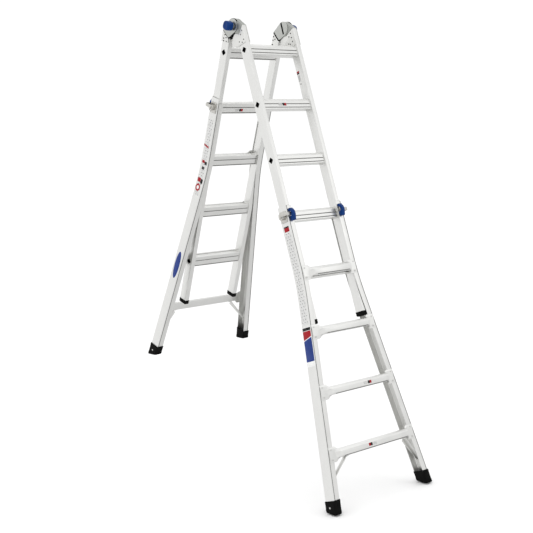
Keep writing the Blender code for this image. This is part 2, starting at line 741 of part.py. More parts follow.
def stand_on_origin(ladder):
    """Move the ladder so that the middle of its underside's box is the origin."""
    bpy.context.view_layer.update()
    graph = bpy.context.evaluated_depsgraph_get()
    corners = []
    for obj in PARTS.objects:
        if obj.type == "MESH":
            mesh = obj.evaluated_get(graph).to_mesh()
            corners += [obj.matrix_world @ vertex.co for vertex in mesh.vertices]
    low = [min(corner[i] for corner in corners) for i in range(3)]
    high = [max(corner[i] for corner in corners) for i in range(3)]
    ladder.location = (-(low[0] + high[0]) / 2, -(low[1] + high[1]) / 2, -low[2])
    bpy.context.view_layer.update()


def build_ladder():
    ladder = empty("ladder_frame")
    for section, heading in (("front", 0), ("rear", math.pi)):
        frame = empty(f"{section}_frame", ladder, rotation=(-LEAN, 0, heading))
        base = empty(f"{section}_base_frame", frame, point(0, 0, rung_down(LOCK_RUNG[section])))
        build_fly(section, frame)
        build_base(section, base)
    build_hinges(bpy.data.objects["front_frame"])
    stand_on_origin(ladder)


clear_scene()
PARTS = new_collection("multi_position_ladder")
TOOLS = new_collection("cutters")
MATERIALS = make_materials()
build_ladder()
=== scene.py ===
"""Looks of the multi position ladder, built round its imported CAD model.

A section's pieces are drawn in its own frame: x across the ladder, "out" away from the other
section and "down" along the rails. A fly's frame starts at the hinge pivot and a base's frame at
its rung locks, so that the same functions draw both sections.
"""
import json
import math

import bmesh
import bpy
from mathutils import Matrix, Vector


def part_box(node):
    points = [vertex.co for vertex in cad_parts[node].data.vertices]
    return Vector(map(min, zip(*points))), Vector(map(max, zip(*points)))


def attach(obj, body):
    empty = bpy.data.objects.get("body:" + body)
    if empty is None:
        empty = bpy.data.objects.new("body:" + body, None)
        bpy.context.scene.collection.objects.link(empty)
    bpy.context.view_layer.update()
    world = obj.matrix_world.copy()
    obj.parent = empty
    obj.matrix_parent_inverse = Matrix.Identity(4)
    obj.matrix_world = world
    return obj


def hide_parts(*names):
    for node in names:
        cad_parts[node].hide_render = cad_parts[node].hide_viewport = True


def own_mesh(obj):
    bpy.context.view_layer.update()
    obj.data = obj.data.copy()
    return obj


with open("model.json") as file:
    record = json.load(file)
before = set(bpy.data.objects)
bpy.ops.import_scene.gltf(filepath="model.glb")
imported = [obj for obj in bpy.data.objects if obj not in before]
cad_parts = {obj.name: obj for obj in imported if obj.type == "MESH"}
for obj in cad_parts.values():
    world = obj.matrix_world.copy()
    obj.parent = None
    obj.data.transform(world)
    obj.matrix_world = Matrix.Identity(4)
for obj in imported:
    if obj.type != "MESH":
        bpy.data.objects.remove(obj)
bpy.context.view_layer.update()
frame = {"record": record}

MM = 0.001
GAP = 0.3 * MM
SHARP_ANGLE = math.radians(35)      # edges that turn further than this show sharp

# Fly
RUNG_PITCH = 304.8 * MM
FIRST_RUNG = 151.3 * MM             # hinge pivot to the middle of rung 1
FLY_RUNGS = 5
RAIL_X = (165 * MM, 193 * MM)
RAIL_OUT = (13 * MM, 69 * MM)
RAIL_MID = sum(RAIL_OUT) / 2
RAIL_TOP = {"front": (24 * MM, 45 * MM), "rear": (37 * MM, 72 * MM)}   # at its front and back
RAIL_CORNER = 4 * MM
RAIL_WALL = 2 * MM
FLY_END = 1637.3 * MM
CAP_HEIGHT = 25 * MM
CAP_WALL = 1.2 * MM
CAP_BASE = 8 * MM                   # from the end of the rail to the end of its cap
LOCK_HOLE = 18 * MM                 # half the diagonal
HOLE_CORNER = 2.5 * MM
CUP_DEPTH = (9 * MM, 14 * MM)       # of the dark cup of painted shade in a lock hole, inside and outside
RUNG_HEIGHT = 60 * MM
RUNG_DEPTH = 40 * MM
RUNG_TREAD = (13 * MM, 14 * MM)
GROOVES = {"front": (1 * MM, 20 * MM), "back": (-5 * MM, 25 * MM)}
GROOVE_SECTION = ((-2.6, 0), (-2.1, 0.5), (-1.8, 2.6), (1.8, 2.6), (2.1, 0.5), (2.6, 0))
GROOVE_DEPTH = GROOVE_SECTION[2][1] * MM
SHADE_STRIP_DEPTH = (2.9 * MM, 0.9 * MM)     # of the dark strip of painted shade in a groove: its floor and its top
SHADE_STRIP_HALF = 1.9 * MM
LIP = 2.5 * MM                      # how far the back of a rung leans out towards its top
COLLAR = (2.2 * MM, 3.5 * MM)       # height and length of the swaged bead round a rung's end

# Base
BASE_STEPS = 4
WEB_X = 199 * MM
FLANGE = 38 * MM
CHANNEL_OUT = (8.5 * MM, 73.4 * MM)
CHANNEL_WALL = 2.5 * MM
BASE_TOP = -55 * MM
FLANGE_NOTCH = 26 * MM              # cut off the top of the back flange for the hinge plates
LINE_X = (4.5 * MM, 8.5 * MM)       # the dark lines of painted shade by its corners, inwards from the web
LINE_RISE = 0.12 * MM
FLARE_SLOPE = 0.135
FLARE_START = RUNG_PITCH - 50 * MM
FLARE_BEND = 200 * MM
BEND_RINGS = 14
PIN_HOLE = 7.6 * MM
GLIDE_LENGTH = 28 * MM
RIVET_INSET = 24.5 * MM
SOLE_BELOW_STEP = 281 * MM
RAIL_ABOVE_SOLE = 26 * MM
STEP_FACE = CHANNEL_OUT[1] + GAP
STEP_END_REACH = 14 * MM
STEP_END_HALF = 38 * MM
STEP_PLATE = 3 * MM
STEP_SWAGE = 46 * MM
SWAGE_RINGS = 14
STEP_PROFILE = ((0, -23), (12, -19.5), (24.5, -15.5), (30, -9), (30, 14.5), (25, 21.5), (0, 22))
STEP_CORNERS = (0.5, 3, 2.5, 4, 5, 4, 0.5)
# STEP_LINE outlines the dark strip of painted shade along a step's lower front edge
STEP_LINE = ((29.1, 16.3), (27.0, 19.3), (25.9, 18.6), (28.0, 15.6))
RIDGE = 7 * MM                      # half height of the ridge at the ends of a step

# Feet and braces
FOOT_HEIGHT = 68 * MM
FOOT_WALL = 5 * MM
FOOT_TOP = ((4.4, 0.5), (4.4, 0.03), (3.4, 0.0), (1.2, 0.0), (0.2, 0.025), (0, 0.07), (0.3, 0.14),
            (1.0, 0.30), (0.9, 0.72))       # inset in millimetres and share of the height
FOOT_RIB = ((0.9, 0.76), (0.1, 0.775), (0.1, 0.80), (0.9, 0.81))
FOOT_RIBS = 3
FOOT_TREAD = ((1.2, 0.97), (3.5, 1.0), (9, 1.0), (16, 1.0))
FOOT_WEB_DIP = 5 * MM               # how far its rim dips in the middle of the web
FOOT_NOTCH = (30 * MM, 24 * MM, 0.62)   # the rim's notch on the open side: slope, depth and width
SOLE_CURVE = 7.28                   # how fast the sole rises away from its middle, per metre
SOLE_NARROW = 2.3                   # how much less it rises across the ladder
BRACE_WIDTH = 24 * MM
BRACE_THICKNESS = 3 * MM
BRACE_RUN = 72 * MM
BRACE_DROP = 152 * MM
BRACE_TAB = 20 * MM
BRACE_LEG = (20 * MM, 9 * MM)       # depth of its stiffening leg at the step and at the rail
BRACE_SHEAR = 0.396                 # how far it runs in under the step for each length outwards
BRACE_CORNERS = (0.8 * MM, 3 * MM, 6 * MM, 0.8 * MM, 0.8 * MM, 6 * MM, 3 * MM, 0.8 * MM)

# Locks
PLATE_HALF = (25 * MM, 30 * MM)
BARREL_RADIUS = 15 * MM
BARREL_LENGTH = 23 * MM
PIN_RADIUS = 7 * MM
ARM_THICKNESS = 3 * MM
ARM_DOWN = (-17 * MM, 1 * MM)
ARM_OUT = 85 * MM
ARM_TIP = 169 * MM
HANDLE_X = (165 * MM, 187 * MM)
HANDLE = ((75, -38), (86, -38), (98.5, -21), (101, -2), (94, 26), (90, 29), (78, 29), (75, 8),
          (75, 5), (84, 4), (92, -9), (84, -22), (75, -25))
HANDLE_CORNERS = (3, 5, 8, 8, 5, 3, 3, 1, 1, 4, 7, 4, 1.5)

# Hinges
DISC_RADIUS = 39 * MM
PLATE = 3 * MM
LAYER = {"front": GAP, "rear": PLATE + 2 * GAP}     # from the rails' faces to the hinge plates
HINGE_HEAD = {                      # high corners first, then the lower edge above the rail
    "front": ((69, 24), (-14, 39), (9, 45.5)),
    "front_neck": ((69, 25.5), (-6, 39), (8, 46), (30, 59), (38, 53)),
    "rear": ((69, 32), (9, 62), (13, 63), (20, 65), (69, 34.5)),
}
RAIL_PLATES = {
    "front": {"outer": ((69, 27.5), (39, 55), (30, 61.5), (9, 48.5), (-7, 47.5), (-25, 62), (-45, 104),
                        (13, 119), (69, 119)),
              "inner": ((69, 25.5), (10, 47.5), (-9, 40), (-42, 51), (-47, 82), (-45, 104), (13, 119),
                        (69, 119))},
    "rear": {"outer": ((69, 38.5), (13, 73.5), (13, 95), (69, 95)),
             "inner": ((69, 38.5), (13, 73.5), (13, 119), (69, 119))},
}
HINGE_RIVETS = {
    "front": {"outer": ((62, 52), (44, 68), (60, 101), (23, 100), (44, 111)),
              "inner": ((46, 46), (28, 59), (46, 70), (47, 93), (14, 94), (27, 101))},
    "rear": {"outer": ((47, 58), (33, 70), (52, 77), (50, 90), (26, 89)),
             "inner": ((63, 58), (63, 78), (48, 69), (63, 102), (50, 108))},
}
DARK_RING = 189.5 * MM
# outlines of near-black strips of painted shade: the gap by the front head, the rear head's seam and the
# slot
HEAD_GAP = ((7, 41), (-5, 49), (-24, 63), (-42, 60), (-36, 47), (-14, 36))
REAR_SEAM = ((69, 31.5), (69, 41.5), (19, 72.5), (13, 68), (20, 63))
SEAM_DEPTH = {"outer": 1.2 * MM, "inner": -0.2 * MM}
HEAD_SLOT = ((2, -38.2), (-9, -37), (-10.5, 29), (0.5, 31))
DRUM_GROOVE = (11 * MM, 12.5 * MM)  # round the front head, from its inner face
BOLT_RADIUS = 6 * MM
BOLT_END = 222 * MM
COLLAR_RADIUS = 17 * MM
COLLAR_END = 205.5 * MM
KNOB_X = (208.5 * MM, 246 * MM)
KNOB_RADIUS = 25 * MM
KNOB_LOBE = 1.2 * MM
SPRING_RADIUS = 9.6 * MM
SPRING_WIRE = 0.9 * MM
SPRING_SEAT = 230 * MM
RIVET = 4.8 * MM                    # radius of a blind rivet's head
HINGE_RIVET = 3.8 * MM
FLUSH_RISE = 0.12 * MM              # of the rivets on the front section's outer plates

# Labels
MARK_HALF = 7.5 * MM                # half height of the small marks on rungs and steps
PATCH_LAYER = 0.12 * MM             # from one layer of vinyl to the next
PATCH_THICKNESS = 0.22 * MM
PATCH_CORNER = 1.5 * MM
PATCH_RINGS = (12 * MM, 20 * MM)    # from a patch's end to its first ring, and between rings

# Studio
FLOOR_RADIUS = 60.0
CAMERA_FROM_PIVOT = Vector((-3.7417, -4.3798, -0.5756))
CAMERA_TURN = (-40.468, 7.192, -1.539)  # azimuth, elevation and roll, in degrees
CAMERA_LENS = 70.48
KEY_PLACE, KEY_TARGET, KEY_SIZE, KEY_POWER = (3.4, -4.0, 3.4), (0, -0.2, 1.2), 2.2, 8
WORLD_LEVEL, WORLD_RIGHT, WORLD_LEFT = 1.03, 0.91, 1.07
WORLD_LOW = 0.76                    # share of the light that comes from well below the horizon
WORLD_OVERHEAD = 0.22               # added to the studio straight above


# ---------------------------------------------------------------- frames

def joint(name):
    joints = frame["record"]["behaviour"]["joints"]
    return next(entry for entry in joints if entry["name"] == name)


PIVOT = Vector(joint("fold")["pos_m"])
SIDES = {"front": {"left": -1, "right": 1}, "rear": {"left": 1, "right": -1}}


def section_matrix(section):
    down = Vector(joint(f"{section}_extend")["axis"]).normalized()
    across = Vector((1, 0, 0)) if section == "front" else Vector((-1, 0, 0))
    turn = Matrix((across, down.cross(across), down)).transposed()
    return Matrix.Translation(PIVOT) @ turn.to_4x4()


def base_matrix(section):
    """The fly's frame moved down to the rung locks of the base."""
    low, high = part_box(f"{section}_left_lock_housing")
    fly = section_matrix(section)
    down = (fly.inverted() @ ((low + high) / 2)).z
    return fly @ Matrix.Translation((0, 0, down))


FLY = {section: section_matrix(section) for section in SIDES}
BASE = {section: base_matrix(section) for section in SIDES}


# ---------------------------------------------------------------- outlines

def arc(centre, radius, start, end, steps):
    turns = [math.radians(start + (end - start) * i / steps) for i in range(steps + 1)]
    return [(centre[0] + radius * math.cos(t), centre[1] + radius * math.sin(t)) for t in turns]


def circle(centre, radius, steps=48):
    return arc(centre, radius, 0, 360, steps)[:-1]


def rounded(points, radii, steps=5):
    """A closed outline with its corners rounded, by one radius or by one for each corner."""
    if isinstance(radii, (int, float)):
        radii = [radii] * len(points)
    result = []
    for i, corner in enumerate(points):
        corner = Vector(corner)
        back = Vector(points[i - 1]) - corner
        ahead = Vector(points[(i + 1) % len(points)]) - corner
        half = back.angle(ahead) / 2
        reach = min(radii[i] / math.tan(half), 0.48 * back.length, 0.48 * ahead.length)
        radius = reach * math.tan(half)
        middle = (back.normalized() + ahead.normalized()).normalized()
        centre = corner + middle * (radius / math.sin(half))
        first = corner + back.normalized() * reach - centre
        last = corner + ahead.normalized() * reach - centre
        spread = first.angle(last)
        for k in range(steps + 1):
            share = k / steps
            spoke = first * math.sin((1 - share) * spread) + last * math.sin(share * spread)
            result.append(tuple(centre + spoke / math.sin(spread)))
    return result


def box_outline(low, high, radius, steps=5):
    return rounded([(high[0], high[1]), (low[0], high[1]), (low[0], low[1]), (high[0], low[1])],
                   radius, steps)


def scaled(points):
    """Points in metres, from points in millimetres."""
    return [(u * MM, v * MM) for u, v in points]


def sided(side, low, high):
    return sorted((side * low, side * high))


def mirrored(side, points):
    """An outline of (x, out) points put on one side of the ladder."""
    return [(side * x, out) for x, out in points]


# ---------------------------------------------------------------- meshes

ACROSS = Matrix(((0, 1, 0), (0, 0, 1), (1, 0, 0))).transposed()     # (out, down) along x
OUTWARD = Matrix(((0, 0, 1), (1, 0, 0), (0, 1, 0))).transposed()    # (down, x) along out
DOWNWARD = Matrix.Identity(3)                                       # (x, out) along down


def tidied(mesh):
    bm = bmesh.new()
    bm.from_mesh(mesh)
    bmesh.ops.remove_doubles(bm, verts=bm.verts, dist=1e-6)
    bmesh.ops.dissolve_degenerate(bm, edges=bm.edges, dist=1e-7)
    bmesh.ops.recalc_face_normals(bm, faces=bm.faces)
    bm.to_mesh(mesh)
    bm.free()
    return mesh


def baked(obj):
    """The evaluated mesh of an object, which is then removed."""
    bpy.context.scene.collection.objects.link(obj)
    bpy.context.view_layer.update()
    graph = bpy.context.evaluated_depsgraph_get()
    mesh = bpy.data.meshes.new_from_object(obj.evaluated_get(graph))
    bpy.data.objects.remove(obj, do_unlink=True)
    return mesh


def plate(loops, axes, start, end, edge=0.5 * MM, grow=0.0):
    """A flat plate with rounded edges, from an outline and any holes."""
    curve = bpy.data.curves.new("plate", "CURVE")
    curve.dimensions = "2D"
    curve.fill_mode = "BOTH"
    curve.extrude = abs(end - start) / 2 - edge
    curve.bevel_depth = edge
    curve.bevel_resolution = 1
    curve.offset = grow - edge
    for loop in loops:
        spline = curve.splines.new("POLY")
        spline.points.add(len(loop) - 1)
        for target, (u, v) in zip(spline.points, loop):
            target.co = (u, v, 0, 1)
        spline.use_cyclic_u = True
    mesh = baked(bpy.data.objects.new("plate", curve))
    mesh.transform(Matrix.Translation((0, 0, (start + end) / 2)))
    mesh.transform(axes.to_4x4())
    return tidied(mesh)


def side_plate(loops, side, low, high, edge=0.5 * MM, grow=0.0):
    """A plate across one side of the ladder, between two distances from its middle."""
    return plate(loops, ACROSS, *sided(side, low, high), edge, grow)


def lofted(rings, capped=True):
    """A skin over rings of points, closed round each ring and, if capped, at both ends."""
    bm = bmesh.new()
    rows = [[bm.verts.new(place) for place in ring] for ring in rings]
    for near, far in zip(rows, rows[1:]):
        for i in range(len(near)):
            bm.faces.new((near[i - 1], near[i], far[i], far[i - 1]))
    if capped:
        for row in (rows[0], rows[-1]):
            bm.faces.new(row)
    mesh = bpy.data.meshes.new("loft")
    bm.to_mesh(mesh)
    bm.free()
    return tidied(mesh)


def turned(profile, steps=48, axis=ACROSS):
    """A profile of (distance, radius) points turned about an axis, across the ladder by default."""
    rings = []
    for distance, radius in profile:
        rings.append([(u, v, distance) for u, v in circle((0, 0), max(radius, 1e-7), steps)])
    mesh = lofted(rings)
    mesh.transform(axis.to_4x4())
    return tidied(mesh)


def joined(meshes):
    bm = bmesh.new()
    for mesh in meshes:
        bm.from_mesh(mesh)
    result = bpy.data.meshes.new("joined")
    bm.to_mesh(result)
    bm.free()
    return result


def copies(mesh, matrices):
    """One mesh of several copies of another."""
    placed = []
    for matrix in matrices:
        placed.append(mesh.copy())
        placed[-1].transform(matrix)
    return joined(placed)


def moved(mesh, x=0.0, out=0.0, down=0.0):
    mesh.transform(Matrix.Translation((x, out, down)))
    return mesh


def carved(mesh, cutter):
    """A mesh with another cut out of it."""
    body = bpy.data.objects.new("body", mesh)
    tool = bpy.data.objects.new("tool", cutter)
    bpy.context.scene.collection.objects.link(tool)
    boolean = body.modifiers.new("Cut", "BOOLEAN")
    boolean.operation = "DIFFERENCE"
    boolean.solver = "EXACT"
    boolean.object = tool
    result = baked(body)
    bpy.data.objects.remove(tool, do_unlink=True)
    return result


def flare(down):
    """How far a base rail has moved outwards at a distance below its lock."""
    run = down - FLARE_START
    if run <= 0:
        return 0.0
    if run < FLARE_BEND:
        return FLARE_SLOPE * run * run / (2 * FLARE_BEND)
    return FLARE_SLOPE * (run - FLARE_BEND / 2)


def flared(mesh, side):
    for vertex in mesh.vertices:
        vertex.co.x += side * flare(vertex.co.z)
    return mesh


# ---------------------------------------------------------------- materials

def node(tree, kind, settings=None, inputs=None):
    """A shader node, with its properties and its input values or links set by name."""
    made = tree.nodes.new(kind)
    for key, value in (settings or {}).items():
        setattr(made, key, value)
    for key, value in (inputs or {}).items():
        if isinstance(value, bpy.types.NodeSocket):
            tree.links.new(value, made.inputs[key])
        else:
            made.inputs[key].default_value = value
    return made


def new_material(name, metallic, specular=0.5):
    """A material's tree, its shader and the piece's own coordinates."""
    material = bpy.data.materials.new(name)
    material.use_nodes = True
    tree = material.node_tree
    shader = tree.nodes["Principled BSDF"]
    shader.inputs["Metallic"].default_value = metallic
    shader.inputs["Specular IOR Level"].default_value = specular
    place = node(tree, "ShaderNodeTexCoord").outputs["Object"]
    return material, tree, shader, place


def noise(tree, place, scale, stretch=(1, 1, 1), detail=3.0):
    mapped = node(tree, "ShaderNodeMapping", inputs={"Vector": place, "Scale": stretch})
    made = node(tree, "ShaderNodeTexNoise", inputs={
        "Vector": mapped.outputs["Vector"], "Scale": scale, "Detail": detail})
    return made.outputs["Fac"]


def ramp(tree, factor, low, high, start=0.3, end=0.7):
    """A colour that goes from one to another as the factor goes from start to end."""
    made = node(tree, "ShaderNodeValToRGB", inputs={"Fac": factor})
    for element, place, colour in zip(made.color_ramp.elements, (start, end), (low, high)):
        element.position = place
        element.color = (*colour, 1)
    return made.outputs["Color"]


def ranged(tree, factor, low, high):
    made = node(tree, "ShaderNodeMapRange", inputs={
        "Value": factor, "From Min": 0.25, "From Max": 0.75, "To Min": low, "To Max": high})
    return made.outputs["Result"]


def blended(tree, factor, first, second):
    made = node(tree, "ShaderNodeMix", {"data_type": "RGBA"})
    tree.links.new(factor, made.inputs["Factor"])
    for name, value in (("A", first), ("B", second)):
        socket = next(s for s in made.inputs if s.name == name and s.type == "RGBA")
        if isinstance(value, bpy.types.NodeSocket):
            tree.links.new(value, socket)
        else:
            socket.default_value = (*value, 1)
    return next(s for s in made.outputs if s.type == "RGBA")


def bump(tree, shader, height, distance, strength=1.0):
    made = node(tree, "ShaderNodeBump", inputs={
        "Height": height, "Distance": distance, "Strength": strength})
    tree.links.new(made.outputs["Normal"], shader.inputs["Normal"])


def make_metal(name, colour, shade, rough, stretch):
    """Drawn metal: fine lines along the piece, faint clouds and a slightly uneven gloss."""
    material, tree, shader, place = new_material(name, 1.0)
    lines = noise(tree, place, 900, stretch)
    clouds = noise(tree, place, 14, detail=4.0)
    tone = ramp(tree, lines, shade, colour, 0.30, 0.62)
    dust = ramp(tree, clouds, [c * 0.94 for c in colour], colour, 0.35, 0.6)
    tree.links.new(blended(tree, clouds, tone, dust), shader.inputs["Base Color"])
    tree.links.new(ranged(tree, clouds, rough - 0.05, rough + 0.07), shader.inputs["Roughness"])
    bump(tree, shader, lines, 0.04 * MM, 0.6)
    return material


def make_turned_steel(name, colour, shade, rough):
    """Machined steel, with rings about the hinge's own axis."""
    material, tree, shader, place = new_material(name, 1.0)
    rings = node(tree, "ShaderNodeTexWave", {
        "wave_type": "RINGS", "rings_direction": "X"}, {
        "Vector": place, "Scale": 260.0, "Distortion": 1.2, "Detail": 2.0}).outputs["Fac"]
    clouds = noise(tree, place, 60)
    tree.links.new(blended(tree, clouds, shade, ramp(tree, rings, shade, colour, 0.1, 0.8)),
                   shader.inputs["Base Color"])
    tree.links.new(ranged(tree, clouds, rough - 0.06, rough + 0.08), shader.inputs["Roughness"])
    bump(tree, shader, rings, 0.05 * MM, 0.5)
    return material


def make_plastic(name, colour, shade, rough, grain, depth, specular=0.5):
    """Moulded plastic or rubber: a fine grain, with a little dust in patches."""
    material, tree, shader, place = new_material(name, 0.0, specular)
    fine = noise(tree, place, grain, detail=4.0)
    patches = noise(tree, place, 35, detail=2.0)
    tree.links.new(ramp(tree, patches, shade, colour, 0.35, 0.65), shader.inputs["Base Color"])
    tree.links.new(ranged(tree, fine, rough - 0.06, rough + 0.1), shader.inputs["Roughness"])
    bump(tree, shader, fine, depth, 0.7)
    return material


def make_print(name, ground, ink, cell, ink_share):
    """Printed vinyl: rows of plain dashes, like small print too far away to read."""
    material, tree, shader, place = new_material(name, 0.0)
    split = node(tree, "ShaderNodeSeparateXYZ", inputs={"Vector": place})
    joined_up = node(tree, "ShaderNodeCombineXYZ", inputs={
        "X": split.outputs["Y"], "Y": split.outputs["Z"]})
    rows = node(tree, "ShaderNodeTexBrick", {"offset": 0.37}, {
        "Vector": joined_up.outputs["Vector"], "Scale": 1.0,
        "Color1": (0, 0, 0, 1), "Color2": (0, 0, 0, 1), "Mortar": (1, 1, 1, 1),
        "Mortar Size": cell[1] * (1 - ink_share), "Mortar Smooth": 0.2,
        "Brick Width": cell[0], "Row Height": cell[1]}).outputs["Color"]
    worn = ramp(tree, noise(tree, place, 300), (0.55,) * 3, (1, 1, 1), 0.35, 0.55)
    mask = node(tree, "ShaderNodeMath", {"operation": "MULTIPLY"}, {0: rows, 1: worn})
    tree.links.new(blended(tree, mask.outputs["Value"], ink, ground),
                   shader.inputs["Base Color"])
    tree.links.new(ranged(tree, noise(tree, place, 80), 0.3, 0.42), shader.inputs["Roughness"])
    bump(tree, shader, noise(tree, place, 500), 0.02 * MM, 0.4)
    return material


ALONG_RAIL, ALONG_RUNG = (1, 1, 0.012), (0.012, 1, 1)
BRIGHT, SHADE = (0.80, 0.80, 0.785), (0.70, 0.70, 0.68)
METALS = {          # name, colour, darker colour, roughness, stretch of the drawn lines
    "rail": ("rail_aluminium", BRIGHT, SHADE, 0.36, ALONG_RAIL),
    "rung": ("rung_aluminium", BRIGHT, SHADE, 0.36, ALONG_RUNG),
    "cast": ("plate_aluminium", (0.80, 0.80, 0.78), SHADE, 0.42, (0.5, 0.5, 0.5)),
    "zinc": ("zinc_steel", (0.62, 0.61, 0.58), (0.44, 0.43, 0.40), 0.33, (0.3, 0.3, 0.3)),
    "rivet": ("rivet_aluminium", (0.70, 0.70, 0.68), (0.56, 0.56, 0.54), 0.30, (0.6, 0.6, 0.6)),
    # painted shade: dark metal strips that stand for the shade in the rungs' grooves, under the steps'
    # folds and by the rails' corners
    "groove": ("oxidised_groove", (0.20, 0.20, 0.195), (0.10, 0.10, 0.098), 0.5, ALONG_RUNG),
    # partly painted shade: the hinge rivets' near-black colour stands for the shade round their small
    # heads
    "dark_shade_rivet": ("rivet_steel", (0.08, 0.08, 0.078), (0.045, 0.045, 0.044), 0.42,
                    (0.6, 0.6, 0.6)),
}
TURNED_STEELS = {   # name, colour, darker colour, roughness
    "disc": ("disc_steel", (0.62, 0.63, 0.60), (0.46, 0.47, 0.45), 0.36),
    "drum": ("drum_steel", (0.46, 0.47, 0.45), (0.34, 0.35, 0.33), 0.40),
}
BLACK, DUSTY = (0.003, 0.003, 0.003), (0.005, 0.005, 0.005)
PLASTICS = {        # name, colour, second colour, roughness, scale and depth of grain, specular
    # painted shade: near-black strips that stand for the shadow in the hinge's gaps, seams and slot, and
    # round its drum
    "gap": ("dark_gap", BLACK, DUSTY, 0.6, 700, 0.02 * MM, 0.05),
    "blue": ("blue_plastic", (0.003, 0.036, 0.175), (0.002, 0.030, 0.150), 0.34, 1400, 0.03 * MM,
             0.12),
    "rubber": ("black_rubber", BLACK, (0.005, 0.005, 0.0047), 0.62, 900, 0.06 * MM, 0.06),
    "glide": ("black_plastic", BLACK, DUSTY, 0.48, 1200, 0.03 * MM, 0.06),
    "label_red": ("red_print", (0.38, 0.012, 0.020), (0.31, 0.010, 0.016), 0.34, 700, 0.01 * MM,
                  0.15),
    "label_blue": ("blue_print", (0.020, 0.048, 0.235), (0.016, 0.040, 0.195), 0.34, 700,
                   0.01 * MM, 0.2),
    "label_black": ("black_print", (0.012, 0.012, 0.012), (0.02, 0.02, 0.02), 0.34, 700,
                    0.01 * MM, 0.15),
    "label_white": ("plain_white_print", (0.86, 0.86, 0.86), (0.78, 0.78, 0.78), 0.32, 700,
                    0.01 * MM),
}
PRINTS = {          # name, ground, ink, length and height of a dash's cell, share of ink
    "print_grey": ("grey_print", (0.74, 0.74, 0.73), (0.07, 0.07, 0.07), (19 * MM, 16 * MM), 0.55),
    "print_dark": ("dark_print", (0.62, 0.62, 0.61), (0.10, 0.10, 0.10), (5 * MM, 3.6 * MM), 0.6),
    "print_white": ("white_print", (0.92, 0.92, 0.91), (0.30, 0.30, 0.30), (12 * MM, 5 * MM), 0.35),
}


def make_materials():
    made = {}
    for make, table in ((make_metal, METALS), (make_turned_steel, TURNED_STEELS),
                        (make_plastic, PLASTICS), (make_print, PRINTS)):
        for key, values in table.items():
            made[key] = make(*values)
    return made


MATERIALS = make_materials()


def piece(name, mesh, matrix, body, material, nodes=()):
    """A shown piece that rides on a body, and that may stand for CAD nodes."""
    mesh.name = name
    mesh.materials.clear()
    mesh.materials.append(MATERIALS[material])
    mesh.shade_smooth()
    mesh.set_sharp_from_angle(angle=SHARP_ANGLE)
    obj = bpy.data.objects.new(name, mesh)
    bpy.context.scene.collection.objects.link(obj)
    obj.matrix_world = matrix
    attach(obj, body)
    if nodes:
        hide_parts(*nodes)
    return obj


# ---------------------------------------------------------------- rivets

def rivet_mesh(radius=RIVET):
    """A blind rivet's domed head with the hollow that its mandrel leaves, rising along z."""
    profile = [(0, 0), (0, radius), (0.25 * radius, 0.97 * radius), (0.42 * radius, 0.80 * radius),
               (0.52 * radius, 0.50 * radius), (0.53 * radius, 0.30 * radius),
               (0.36 * radius, 0.25 * radius), (0.36 * radius, 0)]
    return turned(profile, 20, Matrix.Identity(3))


def facing_x(side, x, out, down):
    """A place on a face across the ladder, for a head that rises away from the middle."""
    turn = Matrix.Rotation(side * math.pi / 2, 4, "Y")
    return Matrix.Translation((x, out, down)) @ turn


def facing_out(x, out, down):
    return Matrix.Translation((x, out, down)) @ Matrix.Rotation(-math.pi / 2, 4, "X")


# ---------------------------------------------------------------- fly

def rung_down(number):
    return FIRST_RUNG + (number - 1) * RUNG_PITCH


def rung_places():
    return [Matrix.Translation((0, 0, rung_down(number + 1))) for number in range(FLY_RUNGS)]


def diamond(reach, corner):
    points = [(RAIL_MID + reach, 0), (RAIL_MID, reach), (RAIL_MID - reach, 0), (RAIL_MID, -reach)]
    return rounded(points, corner)


def rail_top(section, out):
    """How far down the slanted top of a fly rail is, at a distance out."""
    front, back = RAIL_TOP[section]
    return back + (front - back) * (out - RAIL_OUT[0]) / (RAIL_OUT[1] - RAIL_OUT[0])


def fly_rail(section, side):
    """A closed tube with rounded corners and a diamond hole at each rung."""
    x = sided(side, *RAIL_X)
    wall = RAIL_WALL
    outer = box_outline((x[0], RAIL_OUT[0]), (x[1], RAIL_OUT[1]), RAIL_CORNER)
    inner = box_outline((x[0] + wall, RAIL_OUT[0] + wall), (x[1] - wall, RAIL_OUT[1] - wall),
                        RAIL_CORNER - wall)
    bottom = FLY_END - CAP_BASE
    rings = [[(u, v, down or rail_top(section, v)) for u, v in outline] for outline, down in (
        (inner, None), (outer, None), (outer, bottom), (inner, bottom), (inner, None))]
    tube = lofted(rings, capped=False)
    hole = side_plate([diamond(LOCK_HOLE, HOLE_CORNER)], side, RAIL_X[1] - 2 * wall,
                      RAIL_X[1] + wall, edge=0.01 * MM)
    return carved(tube, copies(hole, rung_places()))


def hole_cup(side):
    """The dark cup in a lock hole, painted shade for the hollow behind it, closed at the back by the end
    of the rung's pin.
    """
    face = RAIL_X[1] - 0.4 * MM
    outer, inner = diamond(LOCK_HOLE - 0.1 * MM, HOLE_CORNER), diamond(LOCK_HOLE - 0.9 * MM, 2 * MM)
    floor, back = (face - depth for depth in CUP_DEPTH)
    rings = [(outer, back), (outer, face), (inner, face), (inner, floor)]
    return lofted([[(side * x, out, down) for out, down in ring] for ring, x in rings])


def ribbed(start, end, count, height):
    """Points of small rounded ribs standing on a line, for a tread."""
    start, end = Vector(start), Vector(end)
    along = (end - start) / count
    away = Vector((along.y, -along.x)).normalized() * height
    points = []
    for i in range(count):
        foot = start + along * i
        for share, rise in ((0.12, 0), (0.30, 0.85), (0.50, 1.0), (0.70, 0.85), (0.88, 0)):
            points.append(tuple(foot + along * share + away * rise))
    return points


def grooved(edge, groove, turn):
    """Points of a groove across a straight face, at its (out, down), for one way round."""
    return [(edge - turn * depth * MM, groove + turn * offset * MM)
            for offset, depth in GROOVE_SECTION]


